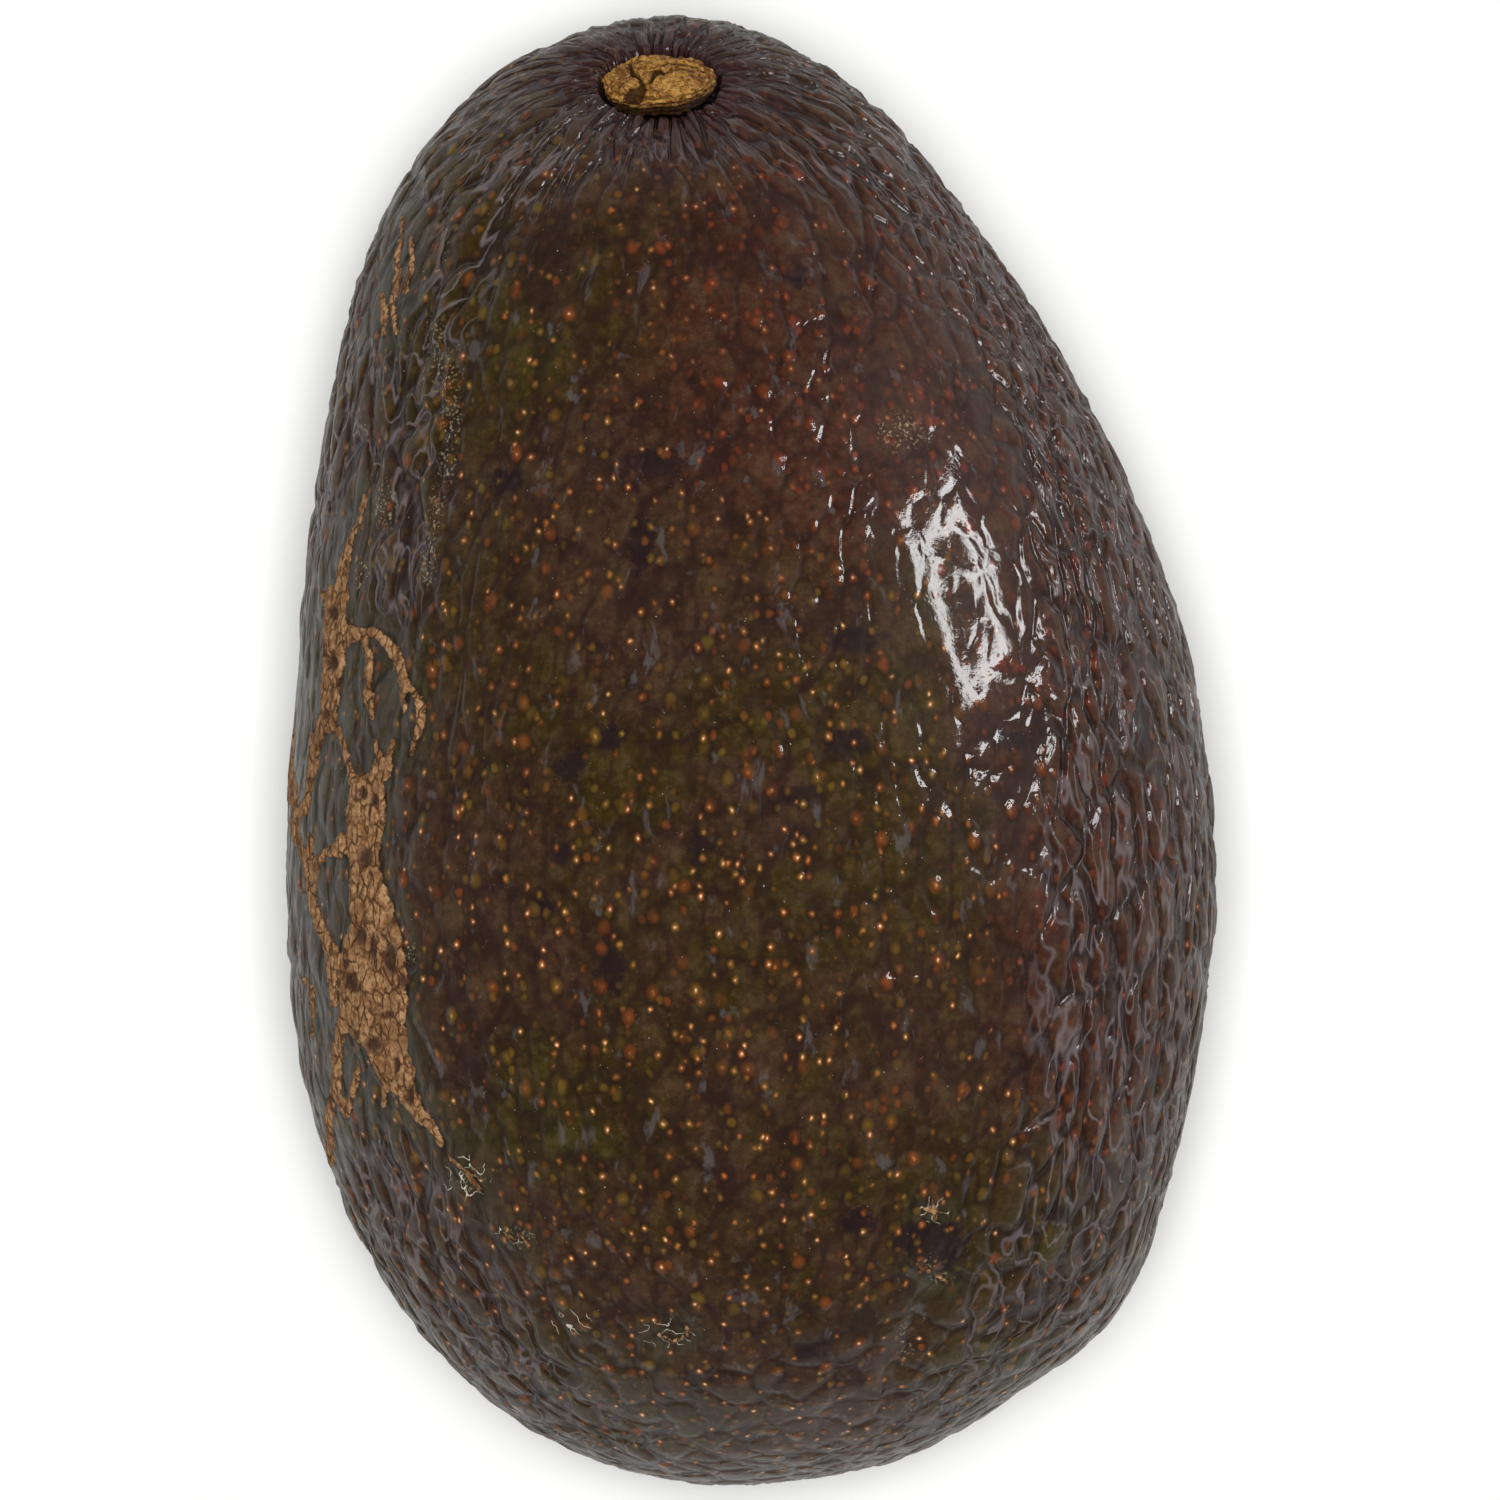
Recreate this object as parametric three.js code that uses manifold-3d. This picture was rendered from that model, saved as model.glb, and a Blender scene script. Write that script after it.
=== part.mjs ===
// An avocado of the dark, pebbled kind, lying on its side as it would on a table.
// Millimetres. +Z is up, +Y points to the stem end, and the origin is the centre of the small
// flat spot that the fruit rests on. The fruit grew as one piece, so it is one solid; the corky
// button left of its stalk is the only separate piece.

import * as THREE from 'three';
import { ConvexHull } from 'three/addons/math/ConvexHull.js';
import { mergeVertices } from 'three/addons/utils/BufferGeometryUtils.js';
import Module from 'manifold-3d';

const wasm = await Module();
wasm.setup();

// Driving dimensions of the fruit
const LENGTH = 108; // from the blossom end to the shoulder behind the stem
const HALF_WIDTH = 33.3; // half the width at the middle of the length
const TAPER = 5.6; // half-width lost towards the stem end and gained towards the blossom end
const END_FULLNESS = 2.7; // extra half-width at both ends, which makes them blunt
const DEPTH_SHARE = 0.95; // height over width, seen along the fruit
const SQUARENESS = 2.15; // exponent of the cross-section: 2 is an ellipse, more is boxier
const NECK_LEAN = 6.2; // how far the neck leans to one side
const NECK_LIFT = 1.5; // how far the neck bends up off the table
const NECK_FROM = -0.05; // where the neck's bend begins and ends, along the half-length
const NECK_TO = 0.92;
const FLAT_DEPTH = 0.4; // how much of the round belly the flat spot takes away

// Driving dimensions of the stem end
const STEM_TILT = 27; // degrees that the stem points up from level
const STEM_TURN = 4; // degrees that it points to the neck's side
const STEM_OFF_AXIS = 22; // degrees from the end of the fruit's axis, on the round form
const STEM_OFF_SIDE = -1; // the same, sideways
const CAVITY_DEPTH = 2.3; // the shallow hollow round the stem
const CAVITY_RADIUS = 8.5;
const SOCKET_RADIUS = 4.7; // the sunken seat of the button
const SOCKET_DEPTH = 1.3;
const SOCKET_SIDES = 32;

// The skin's relief
const PEBBLES = 1320;
const PEBBLE_RISE = 0.42; // a pebble's top above the mean surface
const VALLEY_DROP = 0.24; // the net of furrows below it
const PEBBLE_JITTER = 0.5; // share of the spacing by which a pebble is first put out of place
const SETTLING = 2; // rounds in which the pebbles push each other apart again
const RISE_SPREAD = 0.35; // share by which a pebble's height varies
const CALM_SHARE = 0.5; // relief that is left on the smoother upper face
const RIBS = 26; // radial ribs round the stem
const RIB_RINGS = [5.6, 7.4, 9.6]; // distances from the stem at which they are set out
const RIB_RISE = 0.2;
const SEED = 20;

// Broad swellings and dents, each at a place on the fruit seen from above, measured from its middle
const LUMPS = [
  { x: 25, y: -41, radius: 8, rise: 1.2 }, // swelling at the blossom end
  { x: 20, y: -48, radius: 5, rise: -1 }, // the hollow beside it
  { x: 6, y: -53, radius: 6, rise: -0.5 }, // a fainter one next to that
  { x: 34, y: -22, radius: 10, rise: -0.35 }, // a slack stretch of the flank
  { x: -25, y: -37, radius: 8, rise: -0.35 }, // the same on the other side
  { x: -32, y: 23, radius: 10, rise: -0.5 }, // the waist of the short side
  { x: 30, y: 23, radius: 9, rise: 0.35 }, // a fuller stretch of the long side
];

// Driving dimensions of the button
const BUTTON_RADIUS = 4.15;
const BUTTON_HEIGHT = 2.3;
const BUTTON_SEGMENTS = 30;
const GAP = 0.3; // clear space between the button and its seat

const radians = THREE.MathUtils.degToRad;
const smoothStep = THREE.MathUtils.smoothstep;

// A seeded generator, so that every build gives the same fruit.
function seededRandom(seed) {
  let state = seed;
  return () => {
    state = (Math.imul(state, 1664525) + 1013904223) >>> 0;
    return state / 2 ** 32;
  };
}

// The stem's place on the round form, and the direction in which it points.
const stemPlace = new THREE.Vector3(
  Math.sin(radians(STEM_OFF_SIDE)),
  Math.cos(radians(STEM_OFF_AXIS)),
  Math.sin(radians(STEM_OFF_AXIS)),
).normalize();
const stemAxis = new THREE.Vector3(
  -Math.sin(radians(STEM_TURN)) * Math.cos(radians(STEM_TILT)),
  Math.cos(radians(STEM_TURN)) * Math.cos(radians(STEM_TILT)),
  Math.sin(radians(STEM_TILT)),
);

// The smooth body: a unit direction goes to the point of the tapered, leaning egg that it names.
function eggPoint(direction) {
  const along = THREE.MathUtils.clamp(direction.y, -1, 1);
  const ring = Math.hypot(direction.x, direction.z);
  const halfWidth = HALF_WIDTH - TAPER * along + END_FULLNESS * along * along;
  const neck = smoothStep(along, NECK_FROM, NECK_TO);
  const side = ring > 0 ? Math.abs(direction.x) / ring : 0;
  const up = ring > 0 ? Math.abs(direction.z) / ring : 0;
  const boxy = (side ** SQUARENESS + up ** SQUARENESS) ** (1 / SQUARENESS) || 1;
  return new THREE.Vector3(
    (halfWidth * direction.x) / boxy - NECK_LEAN * neck,
    (LENGTH / 2) * along,
    (halfWidth * DEPTH_SHARE * direction.z) / boxy + NECK_LIFT * neck,
  );
}

// How far the lumps push the surface out at a point.
function lumpRise(point) {
  const reach = (lump) => Math.hypot(point.x - lump.x, point.y - lump.y) / lump.radius;
  return LUMPS.reduce((sum, lump) => sum + lump.rise * Math.exp(-(reach(lump) ** 2)), 0);
}

const stemFoot = eggPoint(stemPlace);

// How far a point is from the stem's own line.
function distanceFromStem(point) {
  const offset = point.clone().sub(stemFoot);
  return offset.sub(stemAxis.clone().multiplyScalar(offset.dot(stemAxis))).length();
}

// The body with its lumps and the hollow round the stem, still without pebbles.
function bodyPoint(direction) {
  const point = eggPoint(direction);
  const outward = new THREE.Vector3(
    point.x / HALF_WIDTH ** 2,
    point.y / (LENGTH / 2) ** 2,
    point.z / HALF_WIDTH ** 2,
  ).normalize();
  const atStemEnd = direction.dot(stemPlace) > 0;
  const hollow = atStemEnd
    ? CAVITY_DEPTH * Math.exp(-((distanceFromStem(point) / CAVITY_RADIUS) ** 2))
    : 0;
  return point.addScaledVector(outward, lumpRise(point)).addScaledVector(stemAxis, -hollow);
}

// The surface's outward normal, from two short steps beside the point.
function bodyNormal(direction) {
  const STEP = 0.01;
  const across = new THREE.Vector3(1, 0.3, -0.2).cross(direction).normalize();
  const along = direction.clone().cross(across);
  const here = bodyPoint(direction);
  const stepTo = (way) => bodyPoint(direction.clone().addScaledVector(way, STEP).normalize());
  return stepTo(across).sub(here).cross(stepTo(along).sub(here)).normalize();
}

// Turns a direction given round the +Z pole into one round the stem.
const poleToStem = new THREE.Quaternion().setFromUnitVectors(
  new THREE.Vector3(0, 0, 1),
  stemPlace,
);
function roundStem(polar, turn) {
  const ring = Math.sin(polar);
  return new THREE.Vector3(ring * Math.cos(turn), ring * Math.sin(turn), Math.cos(polar))
    .applyQuaternion(poleToStem);
}

// Closed faces over points that all lie on the unit sphere, counter-clockwise from outside.
function facesOver(points) {
  const hull = new ConvexHull().setFromPoints(points);
  return hull.faces.map((face) => {
    const corners = [];
    let edge = face.edge;
    do {
      corners.push(edge.head().point);
      edge = edge.next;
    } while (edge !== face.edge);
    return corners;
  });
}

// The unit direction in the middle of several others.
function middleOf(directions) {
  return directions.reduce((sum, way) => sum.add(way), new THREE.Vector3()).normalize();
}

// Pebble tops, on a jittered golden-angle spiral round the stem.
function pebbleTops(random, firstPolar) {
  const golden = Math.PI * (3 - Math.sqrt(5));
  const spacing = Math.sqrt((4 * Math.PI) / PEBBLES);
  const tops = [];
  for (let i = 0; i < PEBBLES; i += 1) {
    const shift = () => (random() - 0.5) * 2 * PEBBLE_JITTER * spacing;
    const polar = Math.acos(1 - (2 * (i + 0.5)) / PEBBLES) + shift();
    const turn = i * golden + shift() / Math.max(Math.sin(polar), spacing);
    if (polar > firstPolar) tops.push(roundStem(polar, turn));
  }
  return tops;
}

// Moves each pebble to the middle of the faces round it, so that none are squeezed thin.
function settle(tops, fixed) {
  for (let round = 0; round < SETTLING; round += 1) {
    const sums = new Map(tops.map((top) => [top, new THREE.Vector3()]));
    facesOver([...tops, ...fixed]).forEach((corners) => {
      const middle = middleOf(corners);
      corners.forEach((corner) => sums.get(corner)?.add(middle));
    });
    sums.forEach((sum, top) => top.copy(sum.normalize()));
  }
}

// The relief is weaker on the upper face of the fruit than on its flanks.
function reliefShare(direction) {
  return THREE.MathUtils.lerp(1, CALM_SHARE, smoothStep(direction.z, 0.45, 0.9));
}

// Ribs that run in to the stem: rings of points, high and low by turns.
function ribPoints(random, millimetresPerRadian) {
  return RIB_RINGS.flatMap((distance, ring) => {
    const step = Math.PI / RIBS;
    return Array.from({ length: 2 * RIBS }, (_, k) => {
      const turn = (k + ring * 0.15 + (random() - 0.5) * 0.3) * step;
      const point = roundStem(distance / millimetresPerRadian, turn);
      point.lift = k % 2 ? RIB_RISE : -RIB_RISE;
      return point;
    });
  });
}

// Each face between three pebbles gets its middle as a low corner of the net of furrows.
function furrowCorners(tops) {
  return facesOver(tops).map((corners) => {
    const corner = middleOf(corners);
    corner.lift = -VALLEY_DROP * reliefShare(corner);
    return corner;
  });
}

// A three.js geometry as a manifold-3d solid, and back.
function toSolid(geometry) {
  const bare = geometry.clone();
  bare.deleteAttribute('normal');
  bare.deleteAttribute('uv');
  const merged = mergeVertices(bare, 1e-4);
  return new wasm.Manifold(new wasm.Mesh({
    numProp: 3,
    vertProperties: merged.getAttribute('position').array,
    triVerts: new Uint32Array(merged.index.array),
  }));
}
function toGeometry(solid) {
  const { vertProperties, triVerts } = solid.getMesh();
  const geometry = new THREE.BufferGeometry();
  geometry.setAttribute('position', new THREE.BufferAttribute(vertProperties, 3));
  geometry.setIndex(new THREE.BufferAttribute(triVerts, 1));
  geometry.computeVertexNormals();
  return geometry;
}

// The whole pebbled fruit, about its own middle.
function pebbledGeometry() {
  const random = seededRandom(SEED);
  const nearby = roundStem(0.1, 0);
  const millimetresPerRadian = eggPoint(nearby).distanceTo(stemFoot) / 0.1;
  const firstPolar = (RIB_RINGS.at(-1) + 1.6) / millimetresPerRadian;
  const ribs = ribPoints(random, millimetresPerRadian);
  const centre = stemPlace.clone();
  centre.lift = 0;
  const tops = pebbleTops(random, firstPolar);
  settle(tops, [...ribs, centre]);
  tops.forEach((top) => {
    top.lift = PEBBLE_RISE * reliefShare(top) * (1 + (random() - 0.5) * 2 * RISE_SPREAD);
  });
  const low = furrowCorners([...tops, ...ribs, centre])
    .filter((corner) => corner.angleTo(stemPlace) > firstPolar);
  const points = [...tops, ...ribs, ...low, centre];
  points.forEach((point, index) => { point.index = index; });
  const placed = points.map((direction) =>
    bodyPoint(direction).addScaledVector(bodyNormal(direction), direction.lift));
  const geometry = new THREE.BufferGeometry().setFromPoints(placed);
  geometry.setIndex(facesOver(points).flatMap((corners) => corners.map((corner) => corner.index)));
  return geometry;
}

// The centre of the solid's volume, which the flat spot has to lie under.
function centreOfMass(geometry) {
  const position = geometry.getAttribute('position');
  const { array } = geometry.index;
  const sum = new THREE.Vector3();
  let volume = 0;
  for (let i = 0; i < array.length; i += 3) {
    const [a, b, c] = [0, 1, 2].map((k) =>
      new THREE.Vector3().fromBufferAttribute(position, array[i + k]));
    const part = a.dot(b.clone().cross(c)) / 6;
    volume += part;
    sum.addScaledVector(a.add(b).add(c), part / 4);
  }
  return sum.divideScalar(volume);
}

// The seat of the button: a short drum along the stem, cut out of the fruit.
function socketSolid(seat) {
  const height = 4 * SOCKET_DEPTH;
  const drum = new THREE.CylinderGeometry(SOCKET_RADIUS, SOCKET_RADIUS * 0.94, height, SOCKET_SIDES);
  drum.translate(0, height / 2, 0);
  drum.applyQuaternion(new THREE.Quaternion().setFromUnitVectors(new THREE.Vector3(0, 1, 0), stemAxis));
  drum.translate(seat.x, seat.y, seat.z);
  return toSolid(drum);
}

// The table's own volume, which trims the belly to a flat spot.
function tableSolid() {
  const block = new THREE.BoxGeometry(2 * LENGTH, 2 * LENGTH, LENGTH);
  block.translate(0, 0, -LENGTH / 2);
  return toSolid(block);
}

// The button: a low, uneven cork disc with a crowned top and an undercut rim.
function buttonGeometry() {
  const outline = (turn) => 1 + 0.05 * Math.cos(2 * turn + 0.4) + 0.035 * Math.cos(3 * turn + 2)
    + 0.02 * Math.cos(7 * turn);
  const crown = (turn) => 1 + 0.09 * Math.cos(turn - 2.4) + 0.05 * Math.cos(4 * turn);
  const profile = [
    [0, 0], [0.62, 0], [0.84, 0.1], [0.93, 0.3], [0.99, 0.48], [1, 0.62],
    [0.93, 0.78], [0.78, 0.9], [0.55, 0.96], [0.28, 1], [0, 0.97],
  ].map(([r, h]) => new THREE.Vector2(r * BUTTON_RADIUS, h * BUTTON_HEIGHT));
  const geometry = new THREE.LatheGeometry(profile, BUTTON_SEGMENTS);
  geometry.rotateX(Math.PI / 2);
  const position = geometry.getAttribute('position');
  for (let i = 0; i < position.count; i += 1) {
    const [x, y, z] = [position.getX(i), position.getY(i), position.getZ(i)];
    const turn = Math.atan2(y, x);
    const share = Math.hypot(x, y) / BUTTON_RADIUS;
    const stretch = THREE.MathUtils.lerp(1, outline(turn), share);
    const lift = z > BUTTON_HEIGHT / 2 ? THREE.MathUtils.lerp(1, crown(turn), share) : 1;
    position.setXYZ(i, x * stretch, y * stretch, z * lift);
  }
  return geometry;
}

const skinMaterial = new THREE.MeshStandardMaterial({
  name: 'skin', color: '#43332a', roughness: 0.35, metalness: 0, flatShading: true,
});
const corkMaterial = new THREE.MeshStandardMaterial({
  name: 'cork', color: '#8d6534', roughness: 0.95, metalness: 0, flatShading: true,
});

const pebbled = pebbledGeometry();
const balance = centreOfMass(pebbled);
const belly = bodyPoint(new THREE.Vector3(0, (2 * balance.y) / LENGTH, -1).normalize());
const toTable = new THREE.Vector3(-balance.x, -balance.y, -belly.z - FLAT_DEPTH);
pebbled.translate(toTable.x, toTable.y, toTable.z);
const seat = bodyPoint(stemPlace).add(toTable).addScaledVector(stemAxis, -SOCKET_DEPTH);
const fruitSolid = toSolid(pebbled).subtract(tableSolid()).subtract(socketSolid(seat));

const fruit = new THREE.Mesh(toGeometry(fruitSolid), skinMaterial);
fruit.name = 'fruit';

const button = new THREE.Mesh(toGeometry(toSolid(buttonGeometry())), corkMaterial);
button.name = 'stem_button';

// The button stands on its seat, turned to the stem's direction.
const stemGroup = new THREE.Group();
stemGroup.position.copy(seat).addScaledVector(stemAxis, GAP);
stemGroup.quaternion.setFromUnitVectors(new THREE.Vector3(0, 0, 1), stemAxis);
stemGroup.add(button);

const avocado = new THREE.Group();
avocado.add(fruit, stemGroup);

export default avocado;
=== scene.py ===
# %% [markdown]
# # A pebbled avocado, lying on its side
# The solids of the fruit and of its stem button come in as a fixed frame, at their real size. This
# lesson gives them their looks: a skin with lens-shaped pebbles, ribs, pores, bruises and a cork scar, a
# cracked cork button, and a plain pale floor under soft light.
# Lengths are in metres, as everywhere in Blender, and MM turns a size in millimetres into metres.

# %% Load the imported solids
import math

import bpy
import numpy as np
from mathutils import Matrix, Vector


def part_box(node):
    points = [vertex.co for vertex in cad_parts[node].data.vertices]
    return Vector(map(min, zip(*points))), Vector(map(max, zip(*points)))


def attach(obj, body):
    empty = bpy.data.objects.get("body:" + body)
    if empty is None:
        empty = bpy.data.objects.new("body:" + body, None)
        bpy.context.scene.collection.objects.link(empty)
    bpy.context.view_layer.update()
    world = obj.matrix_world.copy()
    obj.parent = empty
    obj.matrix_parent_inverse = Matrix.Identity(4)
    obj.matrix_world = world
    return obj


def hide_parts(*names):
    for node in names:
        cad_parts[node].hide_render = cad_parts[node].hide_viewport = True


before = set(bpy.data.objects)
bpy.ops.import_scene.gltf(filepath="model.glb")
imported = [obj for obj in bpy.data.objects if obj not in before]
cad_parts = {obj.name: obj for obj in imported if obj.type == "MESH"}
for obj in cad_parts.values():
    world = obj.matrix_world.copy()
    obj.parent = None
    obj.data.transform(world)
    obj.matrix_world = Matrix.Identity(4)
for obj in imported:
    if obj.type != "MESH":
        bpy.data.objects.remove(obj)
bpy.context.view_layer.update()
MM = 0.001
fruit_low, fruit_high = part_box("fruit")
fruit_middle = (fruit_low + fruit_high) / 2
fruit_size = fruit_high - fruit_low
print("fruit size in mm:", [round(side / MM, 1) for side in fruit_size])

# %% [markdown]
# ## The camera first
# Marks on the skin are given by their pixel in the photograph, so the camera has to stand before they
# can be placed. The photograph looks square on to the fruit's upper side, so the camera hangs above it,
# with the stem end at the top of the picture. A long lens from 0.9 m keeps the outline almost flat.

# %% Hang the camera above the fruit
PHOTO_SIDE = 1500
FRUIT_PIXELS = 1481
CAMERA_DISTANCE = 0.9
SENSOR = 36.0
view_width = fruit_size.y * PHOTO_SIDE / FRUIT_PIXELS
bpy.ops.object.camera_add(
    location=(fruit_middle.x, fruit_middle.y, fruit_middle.z + CAMERA_DISTANCE), rotation=(0, 0, 0)
)
camera = bpy.context.object
camera.data.sensor_width = SENSOR
camera.data.lens = SENSOR * CAMERA_DISTANCE / view_width
bpy.context.scene.camera = camera
PIXELS_PER_MM = PHOTO_SIDE * MM / view_width
print("one millimetre is", round(PIXELS_PER_MM, 2), "pixels of the photograph")


# %% Where a point shows in the photograph
def pixels_of(points):
    """The pixels, right and down, at which points show in the photograph."""
    offset = points - np.array(camera.location)
    scale = CAMERA_DISTANCE / view_width * PHOTO_SIDE / -offset[:, 2]
    return np.stack((PHOTO_SIDE / 2 + offset[:, 0] * scale, PHOTO_SIDE / 2 - offset[:, 1] * scale), axis=1)


# %% [markdown]
# ## Selecting one thing at a time
# Operators act on everything that is selected, and the frame comes in selected. These small helpers
# leave one object active, run edit mode on chosen vertices, and read or write all of a mesh's points
# together, which is much faster than one by one.

# %% Helpers for operators
def only(thing):
    bpy.ops.object.select_all(action="DESELECT")
    thing.select_set(True)
    bpy.context.view_layer.objects.active = thing


def edit_vertices(thing, chosen, *steps):
    """Selects the chosen vertices in edit mode and runs each step on them."""
    only(thing)
    bpy.ops.object.mode_set(mode="EDIT")
    bpy.ops.mesh.select_mode(type="VERT")
    bpy.ops.mesh.select_all(action="DESELECT")
    bpy.ops.object.mode_set(mode="OBJECT")
    thing.data.vertices.foreach_set("select", np.asarray(chosen, dtype=bool))
    bpy.ops.object.mode_set(mode="EDIT")
    for step in steps:
        step()
    bpy.ops.object.mode_set(mode="OBJECT")


def edit_all(thing, *steps):
    edit_vertices(thing, np.ones(len(thing.data.vertices)), *steps)


def finish_with(thing, kind, **settings):
    """Adds a modifier with its settings and applies it."""
    only(thing)
    modifier = thing.modifiers.new(kind.lower(), kind)
    for name, value in settings.items():
        setattr(modifier, name, value)
    bpy.ops.object.modifier_apply(modifier=modifier.name)


# %% Helpers for points
def points_of(thing, field="co"):
    flat = np.empty(len(thing.data.vertices) * 3)
    thing.data.vertices.foreach_get(field, flat)
    return flat.reshape(-1, 3)


def place_points(thing, points):
    thing.data.vertices.foreach_set("co", np.asarray(points).ravel())
    thing.data.update()


def give(thing, name, values):
    """Stores one value, or one place, at each vertex, for the relief and the colours to read."""
    kind, field = ("FLOAT_VECTOR", "vector") if values.ndim == 2 else ("FLOAT", "value")
    attribute = thing.data.attributes.new(name, kind, "POINT")
    attribute.data.foreach_set(field, values.astype(np.float32).ravel())


def smooth_step(low, high, value):
    """0 up to the low value, 1 from the high one, and a soft rise between them."""
    share = np.clip((value - low) / (high - low), 0, 1)
    return share * share * (3 - 2 * share)


def unit(vectors):
    return vectors / np.linalg.norm(vectors, axis=-1, keepdims=True)


# %% [markdown]
# ## Where the stem is
# The button's underside is its one truly flat face, so the way that this face looks, turned round, is
# the direction of the stem. All that grows round the stem is laid out from this line.

# %% Find the stem's foot and direction
ALMOST_PARALLEL = 0.999
button_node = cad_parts["stem_button"]
area_by_way = {}
for face in button_node.data.polygons:
    way = tuple(round(part, 2) for part in face.normal)
    area_by_way[way] = area_by_way.get(way, 0) + face.area
flat_way = max(area_by_way, key=area_by_way.get)
stem_axis = -np.array(Vector(flat_way).normalized())
base_faces = [face for face in button_node.data.polygons
              if face.normal.dot(Vector(stem_axis)) < -ALMOST_PARALLEL]
stem_foot = np.mean([np.array(face.center) for face in base_faces], axis=0)
print("the stem points up by", round(math.degrees(math.asin(stem_axis[2])), 1), "degrees")

# %% Distances from the stem
STEM_END = -20 * MM


def stem_distance(points):
    """Distance from the stem's line, and height above its foot."""
    offset = points - stem_foot
    height = offset @ stem_axis
    return np.linalg.norm(offset - height[:, None] * stem_axis, axis=1), height


def stem_share(points, inner, outer):
    """1 nearer to the stem's line than inner and 0 past outer, at the stem's end of the fruit only."""
    distance, height = stem_distance(points)
    return np.where(height > STEM_END, 1 - smooth_step(inner, outer, distance), 0)


# %% [markdown]
# ## A smooth form to fit the skin to
# The solid's pebbles are plain facets. A merged copy of it, with the button's seat closed over and the
# facets relaxed, gives the mean surface of the fruit. The fine skin is wrapped on to this form and
# then gets its own pebbles. The form itself is thrown away.

# %% Relax a copy of the fruit
MERGE_DISTANCE = 0.001 * MM
SEAT_RADIUS = 4.75 * MM
SEAT_FLOOR = -1 * MM
RELAX_ROUNDS = 4
fruit_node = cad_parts["fruit"]
form = bpy.data.objects.new("form", fruit_node.data.copy())
bpy.context.scene.collection.objects.link(form)
edit_all(form, lambda: bpy.ops.mesh.remove_doubles(threshold=MERGE_DISTANCE))
distance, height = stem_distance(points_of(form))
edit_vertices(
    form,
    (distance < SEAT_RADIUS) & (height > SEAT_FLOOR),
    lambda: bpy.ops.mesh.delete(type="VERT"),
    lambda: bpy.ops.mesh.select_non_manifold(),
    lambda: bpy.ops.mesh.edge_face_add(),
    lambda: bpy.ops.mesh.poke(),
)
edit_all(
    form,
    lambda: bpy.ops.mesh.vertices_smooth(factor=0.5, repeat=RELAX_ROUNDS),
    lambda: bpy.ops.mesh.normals_make_consistent(inside=False),
)
finish_with(form, "SUBSURF", levels=2, render_levels=2)
print("form:", len(form.data.polygons), "faces")
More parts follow.
